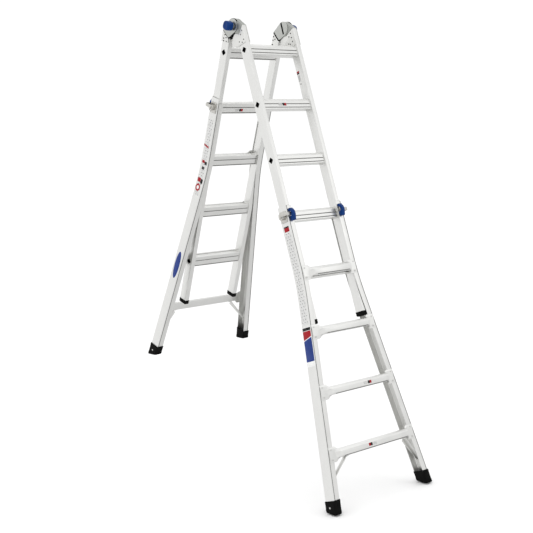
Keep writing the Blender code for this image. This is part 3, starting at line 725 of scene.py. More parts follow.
def rung_outline(ribs=True):
    """A rung's outside, as (out, down): ribbed sloping tread, and grooves along both faces."""
    back, front = RAIL_MID - RUNG_DEPTH / 2, RAIL_MID + RUNG_DEPTH / 2
    top, bottom = -RUNG_HEIGHT / 2, RUNG_HEIGHT / 2
    tread = [(front - RUNG_TREAD[0], top), (front, top + RUNG_TREAD[1])]
    corner = 3 * MM
    points = arc((back + corner, bottom - corner), corner, 90, 180, 4)
    if ribs:
        for groove in sorted(GROOVES["back"], reverse=True):
            points += grooved(back, groove, -1)
    points += arc((back + corner, top + corner), corner, 180, 270, 4)
    if not ribs:
        return points + tread + arc((front - corner, bottom - corner), corner, 0, 90, 4)
    level_end = (back + 2 * corner, top)
    points += [level_end] + ribbed(level_end, tread[0], 4, 0.8 * MM)
    points += [tread[0]] + ribbed(tread[0], tread[1], 4, 0.8 * MM) + [tread[1]]
    for groove in GROOVES["front"]:
        points += grooved(front, groove, 1)
    return points + arc((front - corner, bottom - corner), corner, 0, 90, 4)


def leaned_back(mesh):
    """Lean the upper part of a rung's back outwards from its middle groove up."""
    start, back = GROOVES["back"][0], RAIL_MID - RUNG_DEPTH / 2
    for vertex in mesh.vertices:
        if vertex.co.z < start and vertex.co.y < back + GROOVE_DEPTH + 0.5 * MM:
            share = (start - vertex.co.z) / (start + RUNG_HEIGHT / 2)
            vertex.co.y -= LIP * share
    return mesh


def rung_mesh():
    reach = RAIL_X[0] - GAP
    outline = rung_outline()
    tube = lofted([[(x, out, down) for out, down in outline] for x in (-reach, reach)])
    height, length = COLLAR
    collars = [side_plate([rung_outline(ribs=False)], side, reach - length, reach,
                          edge=1.2 * MM, grow=height) for side in (-1, 1)]
    return joined([leaned_back(tube)] + collars)


def groove_shade_strips():
    """Dark strips of painted shade on the floors of a rung's grooves."""
    reach = RAIL_X[0] - GAP - COLLAR[1]
    strips = []
    for face, turn in (("front", 1), ("back", -1)):
        edge = RAIL_MID + turn * RUNG_DEPTH / 2
        low, high = sorted(edge - turn * depth for depth in SHADE_STRIP_DEPTH)
        for groove in GROOVES[face]:
            strip = box_outline((low, groove - SHADE_STRIP_HALF), (high, groove + SHADE_STRIP_HALF), 0.3 * MM)
            strips.append(plate([strip], ACROSS, -reach, reach, edge=0.1 * MM))
    return joined(strips)


def end_cap(side):
    """A plastic cup on the open end of a fly rail, with a rounded base and a rolled rim."""
    clear, rim = GAP + CAP_WALL, FLY_END - CAP_HEIGHT
    profile = ((rim + 1 * MM, clear + 0.2 * MM), (rim, 0.8 * MM), (rim, 0.2 * MM),
               (rim + 1 * MM, 0), (rim + 4 * MM, 0), (rim + 5 * MM, 0.7 * MM),
               (FLY_END - 6 * MM, 0.7 * MM), (FLY_END - 3 * MM, 1.6 * MM),
               (FLY_END - 1 * MM, 4 * MM), (FLY_END, 8 * MM))
    rings = []
    for down, inset in profile:
        grow = clear - inset
        x = sided(side, RAIL_X[0] - grow, RAIL_X[1] + grow)
        outline = box_outline((x[0], RAIL_OUT[0] - grow), (x[1], RAIL_OUT[1] + grow), RAIL_CORNER)
        rings.append([(u, v, down) for u, v in outline])
    return lofted(rings)


def build_fly(section):
    matrix, body = FLY[section], f"{section}_fly"
    rung, shade_strips, places = rung_mesh(), groove_shade_strips(), rung_places()
    for number, rung_place in enumerate(places, 1):
        place = matrix @ rung_place
        name = f"{section}_rung_{number}"
        piece(f"{name}_tube", rung.copy(), place, body, "rung", [name])
        piece(f"{name}_grooves", shade_strips.copy(), place, body, "groove")
    for name, side in SIDES[section].items():
        prefix = f"{section}_{name}"
        piece(f"{prefix}_fly_rail", fly_rail(section, side), matrix, body, "rail",
              [f"{prefix}_inner_rail"])
        piece(f"{prefix}_lock_hole_cups", copies(hole_cup(side), places), matrix, body, "glide")
        piece(f"{prefix}_rail_end_cap", end_cap(side), matrix, body, "rubber",
              [f"{prefix}_end_cap"])


# ---------------------------------------------------------------- base

def step_down(number):
    return number * RUNG_PITCH


def sole_down():
    return step_down(BASE_STEPS) + SOLE_BELOW_STEP


def rivet_x(down):
    return WEB_X - RIVET_INSET + flare(down)


def channel_outline(side):
    back, front = CHANNEL_OUT
    tip, wall = WEB_X - FLANGE, CHANNEL_WALL
    points = [(tip, front), (WEB_X, front), (WEB_X, back), (tip, back), (tip, back + wall),
              (WEB_X - wall, back + wall), (WEB_X - wall, front - wall), (tip, front - wall)]
    lip, bend = 1.2 * MM, 4 * MM
    outline = rounded(points, (lip, bend, bend, lip, lip, bend / 2, bend / 2, lip), 4)
    return mirrored(side, outline)


def rail_stations():
    """Where an outer rail needs a ring, close together where it bends."""
    bend = [FLARE_START + FLARE_BEND * i / BEND_RINGS for i in range(BEND_RINGS + 1)]
    return [BASE_TOP] + bend + [sole_down() - RAIL_ABOVE_SOLE]


def outer_rail(side):
    outline = channel_outline(side)
    rail = lofted([[(x, out, down) for x, out in outline] for down in rail_stations()])
    hole = side_plate([circle((RAIL_MID, 0), PIN_HOLE)], side, WEB_X - 2 * CHANNEL_WALL,
                      WEB_X + CHANNEL_WALL, edge=0.01 * MM)
    flange = box_outline((WEB_X - FLANGE - MM, CHANNEL_OUT[0] - MM),
                         (WEB_X - CHANNEL_WALL, CHANNEL_OUT[0] + 2 * CHANNEL_WALL), 0.5 * MM)
    notch = plate([mirrored(side, flange)], DOWNWARD, BASE_TOP - MM, BASE_TOP + FLANGE_NOTCH,
                  edge=0.01 * MM)
    return flared(carved(rail, joined([hole, notch])), side)


def corner_lines(side):
    """Dark lines of painted shade along both flanges of an outer rail, beside its corners."""
    strips = []
    for out, start in ((CHANNEL_OUT[1], BASE_TOP), (CHANNEL_OUT[0], BASE_TOP + FLANGE_NOTCH)):
        outline = mirrored(side, box_outline((WEB_X - LINE_X[1], out - LINE_RISE),
                                             (WEB_X - LINE_X[0], out + LINE_RISE), 0.05 * MM, 2))
        stations = [start] + rail_stations()[1:]
        strips.append(lofted([[(x, y, down) for x, y in outline] for down in stations]))
    return flared(joined(strips), side)


def rail_glide(side):
    """Plastic strips between the two rails at the top of the outer one."""
    x = sided(side, RAIL_X[0] + MM, RAIL_X[1] - MM)
    front = (RAIL_OUT[1] + 0.3 * MM, CHANNEL_OUT[1] - CHANNEL_WALL - 0.1 * MM)
    back = (CHANNEL_OUT[0] + CHANNEL_WALL + 0.1 * MM, RAIL_OUT[0] - 0.3 * MM)
    strips = []
    for out, start in ((front, BASE_TOP - 1.5 * MM), (back, BASE_TOP + FLANGE_NOTCH)):
        outline = box_outline((x[0], out[0]), (x[1], out[1]), 0.5 * MM)
        strips.append(plate([outline], DOWNWARD, start, start + GLIDE_LENGTH, edge=0.2 * MM))
    return joined(strips)


def step_outlines():
    """Matching outlines of a step as an open tube and as its flat end, as (out, down)."""
    tube = rounded(STEP_PROFILE, STEP_CORNERS, 4)
    ribs = ribbed(STEP_PROFILE[1], STEP_PROFILE[2], 5, 0.7)
    first = next(i for i, point in enumerate(tube) if point[0] > STEP_PROFILE[1][0] + 2)
    tube = scaled(tube[:first] + ribs + tube[first:])
    lengths = [0.0]
    for near, far in zip(tube, tube[1:]):
        lengths.append(lengths[-1] + math.dist(near, far))
    flat = []
    for length, (out, down) in zip(lengths, tube):
        share = length / lengths[-1]
        flat.append((STEP_PLATE if out > 1 * MM else 0.0, STEP_END_HALF * (2 * share - 1)))
    return tube, flat


def eased(share):
    share = min(max(share, 0.0), 1.0)
    return share * share * (3 - 2 * share)


def step_ring(x, progress, tube, flat):
    """One ring of a step. Its edges go flat before its middle, which leaves a ridge."""
    ring = []
    for (out, down), (flat_out, flat_down) in zip(tube, flat):
        from_ridge = eased((abs(down) - RIDGE / 2) / RIDGE)
        share = eased(progress * (1 + 0.9 * from_ridge) - 0.08 * (1 - from_ridge))
        ring.append((x, STEP_FACE + out + (flat_out - out) * share,
                     down + (flat_down - down) * share))
    return ring


def step_mesh(down):
    """A tube pressed flat at both ends, where it is riveted to the rails."""
    tube, flat = step_outlines()
    reach = rivet_x(down) + STEP_END_REACH
    flat_from = reach - 1.3 * STEP_END_REACH
    places = [(0.0, 0.0)]
    shares = [i / SWAGE_RINGS for i in range(SWAGE_RINGS + 1)]
    places += [(flat_from - STEP_SWAGE * (1 - share), share) for share in shares]
    places += [(reach - 1.2 * MM, 1.15), (reach, 1.15)]
    half = [step_ring(x, progress, tube, flat) for x, progress in places]
    tip = [(x, STEP_FACE + (out - STEP_FACE) * 0.5, z * 0.97) for x, out, z in half[-1]]
    half[-1] = tip
    other = [[(-x, out, z) for x, out, z in ring] for ring in reversed(half[1:])]
    return lofted(other + half)


def step_line(down):
    """A dark line of painted shade along the lower front edge of a step, standing for the shade of its
    fold.
    """
    reach = rivet_x(down) - STEP_END_REACH - STEP_SWAGE
    edge = [(STEP_FACE + out * MM, drop * MM) for out, drop in STEP_LINE]
    return plate([edge], ACROSS, -reach, reach, edge=0.05 * MM)


def step_rivets(down):
    x = rivet_x(down)
    height = STEP_END_HALF - 13 * MM
    places = [facing_out(side * x, STEP_FACE + STEP_PLATE - 0.1 * MM, rise)
              for side in (-1, 1) for rise in (-height, height)]
    return copies(rivet_mesh(), places)


def foot_rim(angle):
    """How far a boot's rim dips below its corners, round the rail from the web at angle 0."""
    slope, depth, width = FOOT_NOTCH
    web_dip = FOOT_WEB_DIP * max(math.cos(2 * angle), 0)
    notch = slope * max(1 - abs(math.remainder(angle - math.pi, 2 * math.pi)) / width, 0)
    return web_dip * (math.cos(angle) > 0) + min(notch, depth)


def foot_sole(x, out, down, lean):
    """How far down the rounded sole reaches under a point of the boot."""
    level = down - lean * (out - RAIL_MID)
    return level - SOLE_CURVE * ((x / SOLE_NARROW) ** 2 + (out - RAIL_MID) ** 2)


def foot_mesh(side, lean):
    """A rubber boot on the end of a rail: a cup with a bowed rim, ribs and a rounded sole."""
    down = sole_down()
    low = (WEB_X - FLANGE - FOOT_WALL, CHANNEL_OUT[0] - FOOT_WALL)
    high = (WEB_X + FOOT_WALL, CHANNEL_OUT[1] + FOOT_WALL)
    middle = ((low[0] + high[0]) / 2, RAIL_MID)

    def ring(inset, height):
        outline = box_outline((low[0] + inset, low[1] + inset), (high[0] - inset, high[1] - inset),
                              max(10 * MM - inset, 3 * MM), 8)
        points = []
        for x, out in outline:
            angle = math.atan2(out - middle[1], x - middle[0])
            rim = down - FOOT_HEIGHT + foot_rim(angle)
            sole = foot_sole(x - middle[0], out, down, lean)
            points.append((side * x, out, rim + (sole - rim) * height))
        return points

    profile = list(FOOT_TOP)
    for i in range(FOOT_RIBS):
        profile += [(inset, height + 0.06 * i) for inset, height in FOOT_RIB]
    profile += FOOT_TREAD
    return flared(lofted([ring(inset * MM, height) for inset, height in profile]), side)


def boot_rivet(side):
    down = sole_down() - 0.52 * FOOT_HEIGHT
    x = side * (WEB_X + FOOT_WALL - 0.9 * MM + flare(down))
    return copies(rivet_mesh(), [facing_x(side, x, RAIL_MID, down)])


def strip_outline(spine, thickness):
    """The outline of a bent strip on one side of its spine, as (x, down)."""
    headings = [(Vector(far) - Vector(near)).normalized() for near, far in zip(spine, spine[1:])]
    normals = [Vector((-heading.y, heading.x)) for heading in headings]
    offsets = [normals[0]]
    for before, after in zip(normals, normals[1:]):
        offsets.append((before + after) / (1 + before.dot(after)))
    offsets.append(normals[-1])
    far_side = [Vector(place) + offset * thickness for place, offset in zip(spine, offsets)]
    outline = list(spine) + [tuple(place) for place in reversed(far_side)]
    return rounded(outline, BRACE_CORNERS)


def brace_top():
    return rivet_x(step_down(BASE_STEPS)) - BRACE_RUN


def brace_bend():
    return step_down(BASE_STEPS) + BRACE_DROP


def brace_web(down):
    return WEB_X - CHANNEL_WALL - GAP + flare(down)


def brace_underside():
    """How far down the last step's underside is, where a brace's upper tab lies."""
    return step_down(BASE_STEPS) + STEP_PROFILE[-1][1] * MM + GAP


def brace_mesh(side):
    """A bent strip from under the last step to the inside of the rail's web, with a leg."""
    bend, top = brace_bend(), brace_top()
    end = bend + BRACE_TAB
    spine = ((top - BRACE_TAB, brace_underside()), (top, brace_underside()),
             (brace_web(bend), bend), (brace_web(end), end))
    outline = [(down, side * x) for x, down in strip_outline(spine, BRACE_THICKNESS)]
    strip = plate([outline], OUTWARD, STEP_FACE, STEP_FACE + BRACE_WIDTH, edge=0.6 * MM)
    upper, lower = Vector(spine[1]), Vector(spine[2])
    inward = Vector((upper.y - lower.y, lower.x - upper.x)).normalized()
    leg = [upper + inward * 2 * MM, lower + inward * 2 * MM, lower + inward * BRACE_LEG[1],
           upper + inward * BRACE_LEG[0]]
    leg = rounded([(place.y, side * place.x) for place in leg], 2 * MM)
    flange = plate([leg], OUTWARD, STEP_FACE + 0.4 * MM, STEP_FACE + 2.6 * MM, edge=0.5 * MM)
    mesh = joined([strip, flange])
    for vertex in mesh.vertices:
        vertex.co.y -= BRACE_SHEAR * max(abs(vertex.co.x) - top, 0)
    return mesh


def brace_rivets(side):
    """The rivet of each tab: one rises below the step and one rises inside the rail."""
    middle = STEP_FACE + BRACE_WIDTH / 2
    upper = Matrix.Translation((side * (brace_top() - 0.6 * BRACE_TAB), middle,
                                brace_underside() + BRACE_THICKNESS - 0.1 * MM))
    down = brace_bend() + 0.5 * BRACE_TAB
    x = brace_web(down) - BRACE_THICKNESS + 0.1 * MM
    out = middle - BRACE_SHEAR * (x - brace_top())
    return copies(rivet_mesh(), [upper, facing_x(-side, side * x, out, down)])


def build_base(section):
    matrix, body = BASE[section], f"{section}_base"
    lean = matrix.col[1].z / matrix.col[2].z
    for number in range(1, BASE_STEPS + 1):
        down = step_down(number)
        place = matrix @ Matrix.Translation((0, 0, down))
        name = f"{section}_step_{number}"
        piece(f"{name}_tube", step_mesh(down), place, body, "rung", [name])
        piece(f"{name}_edge_line", step_line(down), place, body, "groove")
        piece(f"{name}_rivets", step_rivets(down), place, body, "rivet")
    for name, side in SIDES[section].items():
        prefix = f"{section}_{name}"
        parts = (("base_rail", outer_rail(side), "rail", "outer_rail"),
                 ("rail_lines", corner_lines(side), "groove", None),
                 ("rail_glide", rail_glide(side), "glide", None),
                 ("boot", foot_mesh(side, lean), "rubber", "foot"),
                 ("stay", brace_mesh(side), "cast", "brace"),
                 ("stay_rivet", brace_rivets(side), "rivet", None),
                 ("boot_rivet", boot_rivet(side), "rivet", None))
        for part, mesh, material, replaced in parts:
            nodes = [f"{prefix}_{replaced}"] if replaced else ()
            piece(f"{prefix}_{part}", mesh, matrix, body, material, nodes)
        build_lock(section, name, side)


# ---------------------------------------------------------------- rung locks

def lock_housing(side):
    """A riveted plate with a stepped barrel for the sprung pin."""
    face = WEB_X + GAP
    outline = box_outline((RAIL_MID - PLATE_HALF[0], -PLATE_HALF[1]),
                          (RAIL_MID + PLATE_HALF[0], PLATE_HALF[1]), 6 * MM)
    base = side_plate([outline], side, face, face + PLATE, edge=0.7 * MM)
    end, waist, bore = face + BARREL_LENGTH, BARREL_RADIUS - 0.8 * MM, PIN_RADIUS + 0.6 * MM
    profile = [(face + PLATE / 2, BARREL_RADIUS), (end - 9 * MM, BARREL_RADIUS),
               (end - 8 * MM, waist), (end - 7 * MM, waist), (end - 6 * MM, BARREL_RADIUS),
               (end - 1.2 * MM, BARREL_RADIUS), (end, BARREL_RADIUS - 1.2 * MM), (end, bore),
               (end - 6 * MM, bore)]
    barrel = turned([(side * x, radius) for x, radius in profile])
    return joined([base, moved(barrel, out=RAIL_MID)])


def lock_plate_rivets(side):
    x = side * (WEB_X + GAP + PLATE - 0.1 * MM)
    reach, rise = PLATE_HALF[0] - 6.5 * MM, PLATE_HALF[1] - 6.5 * MM
    places = [facing_x(side, x, RAIL_MID + u * reach, v * rise) for u in (-1, 1) for v in (-1, 1)]
    return copies(rivet_mesh(3.2 * MM), places)


def lock_pin(side):
    """The pin, and the sprung strap that takes the pull from the handle round to it."""
    tip, arm_x = RAIL_X[1] + 0.4 * MM, WEB_X + 2 * GAP + BARREL_LENGTH
    far, back, front = arm_x + ARM_THICKNESS, RAIL_MID - PIN_RADIUS, ARM_OUT
    profile = [(tip, 0), (tip, PIN_RADIUS - 2 * MM), (tip + 2 * MM, PIN_RADIUS),
               (far + 1.2 * MM, PIN_RADIUS), (far + 2.2 * MM, PIN_RADIUS - 1.2 * MM),
               (far + 2.2 * MM, 0)]
    pin = moved(turned([(side * x, radius) for x, radius in profile], 32), out=RAIL_MID)
    corner = 3 * ARM_THICKNESS
    centre = (far - corner, front - corner)
    outline = [(arm_x, back), (far, back)] + arc(centre, corner, 0, 90, 10)
    outline += [(ARM_TIP, front), (ARM_TIP, front - ARM_THICKNESS)]
    outline += arc(centre, corner - ARM_THICKNESS, 90, 0, 10)
    strap = plate([mirrored(side, outline)], DOWNWARD, *ARM_DOWN, edge=0.8 * MM)
    bead = plate([mirrored(side, outline)], DOWNWARD, ARM_DOWN[0] + 6 * MM, ARM_DOWN[1] - 6 * MM,
                 edge=1.0 * MM, grow=0.9 * MM)
    return joined([pin, strap, bead])


def lock_handle(side):
    """An arrowhead of blue plastic, with a small hole near its point and raised edges."""
    outline = rounded(scaled(HANDLE), [radius * MM for radius in HANDLE_CORNERS], 4)
    hole = circle((95.6 * MM, -10 * MM), 2.3 * MM, 20)
    return side_plate([outline, hole], side, *HANDLE_X, edge=1.6 * MM)


def build_lock(section, name, side):
    matrix, prefix = BASE[section], f"{section}_{name}_lock"
    piece(f"{prefix}_barrel", lock_housing(side), matrix, f"{section}_base", "zinc",
          [f"{prefix}_housing"])
    piece(f"{prefix}_rivets", lock_plate_rivets(side), matrix, f"{section}_base", "rivet")
    piece(f"{prefix}_strap", lock_pin(side), matrix, prefix, "zinc", [f"{prefix}_pin"])
    piece(f"{prefix}_pull", lock_handle(side), matrix, prefix, "blue", [f"{prefix}_handle"])


# ---------------------------------------------------------------- hinges

def tangent_angle(corner, radius, turn):
    distance = math.hypot(*corner)
    return math.degrees(math.atan2(corner[1], corner[0]) + turn * math.acos(radius / distance))


def head_outline(section, radius=DISC_RADIUS):
    """The disc of a hinge head, run out tangentially to the corners of its neck."""
    corners = scaled(HINGE_HEAD[section])
    start = tangent_angle(corners[0], radius, -1)
    end = tangent_angle(corners[1], radius, 1) - 360
    return corners[:1] + arc((0, 0), radius, start, end, 72) + corners[1:]


def layer_span(section, face):
    """Where a section's outer or inner hinge plate lies across the ladder."""
    layer = LAYER[section]
    if face == "outer":
        return RAIL_X[1] + layer, RAIL_X[1] + layer + PLATE
    return RAIL_X[0] - layer - PLATE, RAIL_X[0] - layer


def rail_plates(section, side):
    """The flat plates that hold a hinge to its rail, and shield the gap under it."""
    plates = [side_plate([rounded(scaled(points), 3 * MM, 4)], side, *layer_span(section, face))
              for face, points in RAIL_PLATES[section].items()]
    if section == "rear":
        saddle = rounded(scaled(((69, 41), (69, 95), (50, 95), (50, 53))), 1 * MM)
        for low, high in ((layer_span("rear", "inner")[1], RAIL_X[0]),
                          (RAIL_X[1], layer_span("rear", "outer")[0])):
            plates.append(side_plate([saddle], side, low, high, edge=0.1 * MM))
    return joined(plates)


def head_plate(section, side, face):
    hole = circle((0, 0), BOLT_RADIUS + GAP, 32)
    return side_plate([head_outline(section), hole], side, *layer_span(section, face),
                      edge=0.7 * MM)


def hinge_drum(side):
    """The solid middle of the front head, with a groove round its rim and a narrower outer end."""
    start, end = layer_span("front", "inner")[0], layer_span("front", "outer")[1]
    groove = [start + place for place in DRUM_GROOVE]
    slabs = []
    for low, high, radius in ((start, groove[0], DISC_RADIUS),
                              (groove[0], groove[1], DISC_RADIUS - 2 * MM),
                              (groove[1], DARK_RING, DISC_RADIUS),
                              (DARK_RING, RAIL_X[1], DISC_RADIUS - 3 * MM)):
        slabs.append(side_plate([head_outline("front", radius)], side, low, high, edge=0.4 * MM))
    neck = head_outline("front_neck", DISC_RADIUS - 3.5 * MM)
    slabs.append(side_plate([neck], side, RAIL_X[1] + 0.1 * MM, end))
    return joined(slabs)


def drum_ring(side):
    """The dark ring of painted shade between the front head and the rear head's outer plate."""
    end = layer_span("front", "outer")[1] + 0.1 * MM
    return side_plate([circle((0, 0), DISC_RADIUS + 1.2 * MM, 72)], side, DARK_RING + 0.1 * MM,
                      end, edge=0.3 * MM)


def rear_saddle(side):
    """The bar across the rear rail's top that joins the rear head's plates."""
    low, high = layer_span("rear", "inner")[0] + MM, layer_span("rear", "outer")[1] - MM
    bar = rounded(scaled(((68, 33), (68, 36.5), (51, 47), (51, 42))), 0.8 * MM)
    return side_plate([bar], side, low, high, edge=0.4 * MM)


def dark_inlay(side, points, face, depth):
    """A dark strip of painted shade that shows as a gap, at a depth below a rear plate's outer face."""
    start, end = layer_span("rear", face)
    top = end - depth if face == "outer" else start + depth
    inward = top - 1.2 * MM if face == "outer" else top + 1.2 * MM
    return side_plate([rounded(scaled(points), 0.6 * MM)], side, inward, top, edge=0.1 * MM)


def pivot_bolt(side):
    """The hinge's bolt: flush with the inner head, with a grooved collar behind the knob."""
    inner, outer = layer_span("rear", "inner")[0], layer_span("rear", "outer")[1] + GAP
    waist = COLLAR_RADIUS - MM
    profile = [(inner, 0), (inner, BOLT_RADIUS - 0.5 * MM), (inner + 0.5 * MM, BOLT_RADIUS),
               (outer, BOLT_RADIUS), (outer, COLLAR_RADIUS), (outer + 1.6 * MM, COLLAR_RADIUS),
               (outer + 2.0 * MM, waist), (COLLAR_END - 2 * MM, waist),
               (COLLAR_END - 1.6 * MM, COLLAR_RADIUS), (COLLAR_END - MM, COLLAR_RADIUS),
               (COLLAR_END, waist), (COLLAR_END, BOLT_RADIUS), (BOLT_END, BOLT_RADIUS),
               (BOLT_END, 0)]
    return turned([(side * x, radius) for x, radius in profile])


def knob_mesh(side):
    """A soft four-lobed push knob with a domed face, a dished middle and an open back."""
    start, end = KNOB_X
    face = ((SPRING_SEAT + 1.5 * MM, 0, 0), (SPRING_SEAT + 1.5 * MM, 0.5, 0), (start + 7.7 * MM, 0.5, 0),
            (start + 7.7 * MM, 0.745, 0), (start + 0.6 * MM, 0.745, 0), (start, 0.77, 0),
            (start, 0.93, 0.6), (start + 1.2 * MM, 0.98, 1),
            (start + 3 * MM, 1.0, 1), (end - 8 * MM, 1.0, 1), (end - 4 * MM, 0.965, 1),
            (end - 1.5 * MM, 0.88, 0.9), (end - 0.3 * MM, 0.76, 0.7), (end, 0.62, 0.4),
            (end - 0.8 * MM, 0.46, 0.2), (end - 1.2 * MM, 0.25, 0), (end - 1.3 * MM, 0.0, 0))
    rings = []
    for x, share, lobe in face:
        ring = []
        for i in range(72):
            angle = 2 * math.pi * i / 72
            radius = max((KNOB_RADIUS + KNOB_LOBE * lobe * math.cos(4 * angle)) * share, 1e-7)
            ring.append((side * x, radius * math.cos(angle), radius * math.sin(angle)))
        rings.append(ring)
    return lofted(rings)


def spring_mesh(side):
    """The coil between the collar and the knob."""
    start, turns, steps = COLLAR_END + GAP + SPRING_WIRE, 5, 28
    length = SPRING_SEAT - GAP - SPRING_WIRE - start
    curve = bpy.data.curves.new("coil", "CURVE")
    curve.dimensions = "3D"
    curve.bevel_depth = SPRING_WIRE
    curve.bevel_resolution = 3
    curve.use_fill_caps = True
    spline = curve.splines.new("POLY")
    spline.points.add(turns * steps)
    for i, target in enumerate(spline.points):
        angle = 2 * math.pi * i / steps
        x = side * (start + length * i / (turns * steps))
        target.co = (x, SPRING_RADIUS * math.cos(angle), SPRING_RADIUS * math.sin(angle), 1)
    return tidied(baked(bpy.data.objects.new("coil", curve)))


def hinge_rivets(section, side, face):
    """The heads on one hinge plate. Those of the front's outer plate are flush with it."""
    start, end = layer_span(section, face)
    turn, x = (side, side * end) if face == "outer" else (-side, side * start)
    flush = section == "front" and face == "outer"
    head = rivet_mesh(HINGE_RIVET)
    if flush:
        profile = [(0, 0), (0, HINGE_RIVET), (FLUSH_RISE, HINGE_RIVET - 0.1 * MM), (FLUSH_RISE, 0)]
        head = turned(profile, 20, Matrix.Identity(3))
    return copies(head, [facing_x(turn, x, *place) for place in scaled(HINGE_RIVETS[section][face])])


def build_hinge(name):
    front, rear = SIDES["front"][name], SIDES["rear"][name]

    def hinge_piece(label, mesh, section, material, body=None, nodes=()):
        return piece(label, mesh, FLY[section], body or f"{section}_fly", material, nodes)

    for section, side in (("front", front), ("rear", rear)):
        prefix = f"{section}_{name}_hinge"
        hinge_piece(f"{prefix}_plates", rail_plates(section, side), section, "cast",
                    nodes=[f"{prefix}_bracket"])
        for face in ("outer", "inner"):
            # the hinge rivets' near-black colour is painted shade for the dots that the small heads make
            hinge_piece(f"{prefix}_{face}_rivets", hinge_rivets(section, side, face), section,
                        "dark_shade_rivet")
    for face in ("outer", "inner"):
        hinge_piece(f"rear_{name}_hinge_{face}_head", head_plate("rear", rear, face), "rear", "disc")
        hinge_piece(f"rear_{name}_hinge_{face}_seam",
                    dark_inlay(rear, REAR_SEAM, face, SEAM_DEPTH[face]), "rear", "gap")
    hinge_piece(f"{name}_hinge_gap", dark_inlay(front, HEAD_GAP, "outer", 3.1 * MM), "front", "gap")
    hinge_piece(f"{name}_hinge_drum", hinge_drum(front), "front", "drum")
    hinge_piece(f"{name}_hinge_ring", drum_ring(front), "front", "gap")
    hinge_piece(f"{name}_hinge_saddle", rear_saddle(rear), "rear", "disc")
    hinge_piece(f"{name}_hinge_slot", dark_inlay(front, HEAD_SLOT, "inner", -0.3 * MM), "front",
                "gap")
    hinge_piece(f"{name}_hinge_bolt", pivot_bolt(front), "front", "disc",
                nodes=[f"{name}_pivot_bolt"])
    hinge_piece(f"{name}_push_knob", knob_mesh(front), "front", "blue", f"{name}_knob",
                [f"{name}_hinge_knob"])
    coil = hinge_piece(f"{name}_knob_coil", spring_mesh(front), "front", "zinc",
                       nodes=[f"{name}_knob_spring"])
    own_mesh(coil)


# ---------------------------------------------------------------- labels

def patch(side, corners, layer):
    """A thin vinyl patch on an outer rail's web, with corners as (out, down)."""
    face = WEB_X + PATCH_LAYER * (layer - 1)
    outline = rounded(scaled(corners), PATCH_CORNER, 4)
    mesh = side_plate([outline], side, face, face + PATCH_THICKNESS, edge=0.05 * MM)
    stations = [point[1] for point in outline]
    return cut_across(mesh, min(stations), max(stations), side)


def cut_across(mesh, start, end, side):
    """Give a patch rings across it, so that it can follow the bend of the rail."""
    bm = bmesh.new()
    bm.from_mesh(mesh)
    station = start + PATCH_RINGS[0]
    while station < end:
        bmesh.ops.bisect_plane(bm, geom=bm.verts[:] + bm.edges[:] + bm.faces[:], dist=1e-6,
                               plane_co=(0, 0, station), plane_no=(0, 0, 1))
        station += PATCH_RINGS[1]
    bm.to_mesh(mesh)
    bm.free()
    return flared(mesh, side)


def fly_patch(place, low, high, face):
    """A thin patch on a fly part's inner or front face, as (u, down) about a place."""
    outline = box_outline(low, high, 1 * MM, 4)
    if face == "inner":
        return moved(plate([outline], ACROSS, -0.25 * MM, -0.02 * MM, edge=0.05 * MM), *place)
    outline = [(v, u) for u, v in outline]
    return moved(plate([outline], OUTWARD, 0.02 * MM, 0.25 * MM, edge=0.05 * MM), *place)


def ellipse(centre, across, along):
    return [(centre[0] + across * u, centre[1] + along * v) for u, v in circle((0, 0), 1, 40)]


def rectangle(out, down):
    return [(out[0], down[0]), (out[1], down[0]), (out[1], down[1]), (out[0], down[1])]


def build_labels():
    """Plain vinyl patches where a ladder carries its labels, with no wording or marks."""
    spots = {
        "front": (
            ("notice", "label_red", rectangle((22, 60), (53, 78)), 1),
            ("notice_band", "label_black", rectangle((22, 60), (50, 57)), 2),
            ("small_print", "print_grey", rectangle((20, 62), (86, 566)), 1),
            ("sheet", "label_white", rectangle((12, 74), (577, 776)), 1),
            ("sheet_head", "label_black", rectangle((13, 73), (579, 594)), 2),
            ("sheet_red", "label_red", ((13, 596), (73, 596), (73, 625), (13, 641)), 2),
            ("sheet_blue", "label_blue", ((13, 645), (73, 629), (73, 750), (13, 750)), 2),
            ("sheet_print", "print_white", rectangle((15, 71), (752, 773)), 2),
        ),
        "rear": (
            ("small_print", "print_grey", rectangle((24, 60), (70, 505)), 1),
            ("bar", "label_red", ((26, 221), (68, 212), (68, 222), (26, 231)), 2),
            ("block", "label_red", rectangle((38, 61), (304, 320)), 2),
            ("block_end", "label_black", rectangle((17, 37.5), (308, 326)), 2),
            ("dark_block", "label_black", rectangle((32, 52), (340, 356)), 2),
            ("panel", "label_red", rectangle((38, 64), (406, 430)), 2),
            ("panel_end", "label_black", rectangle((18, 37.5), (410, 436)), 2),
            ("disc", "label_red", ellipse((46, 462), 20, 21), 2),
            ("disc_middle", "label_white", ellipse((46, 462), 10, 11), 3),
            ("oval", "label_blue", ellipse((39, 928), 22, 80), 1),
        ),
    }
    for section, rows in spots.items():
        side = SIDES[section]["left"]
        for name, material, corners, layer in rows:
            piece(f"{section}_rail_{name}", patch(side, corners, layer), BASE[section],
                  f"{section}_base", material)
    build_small_labels()


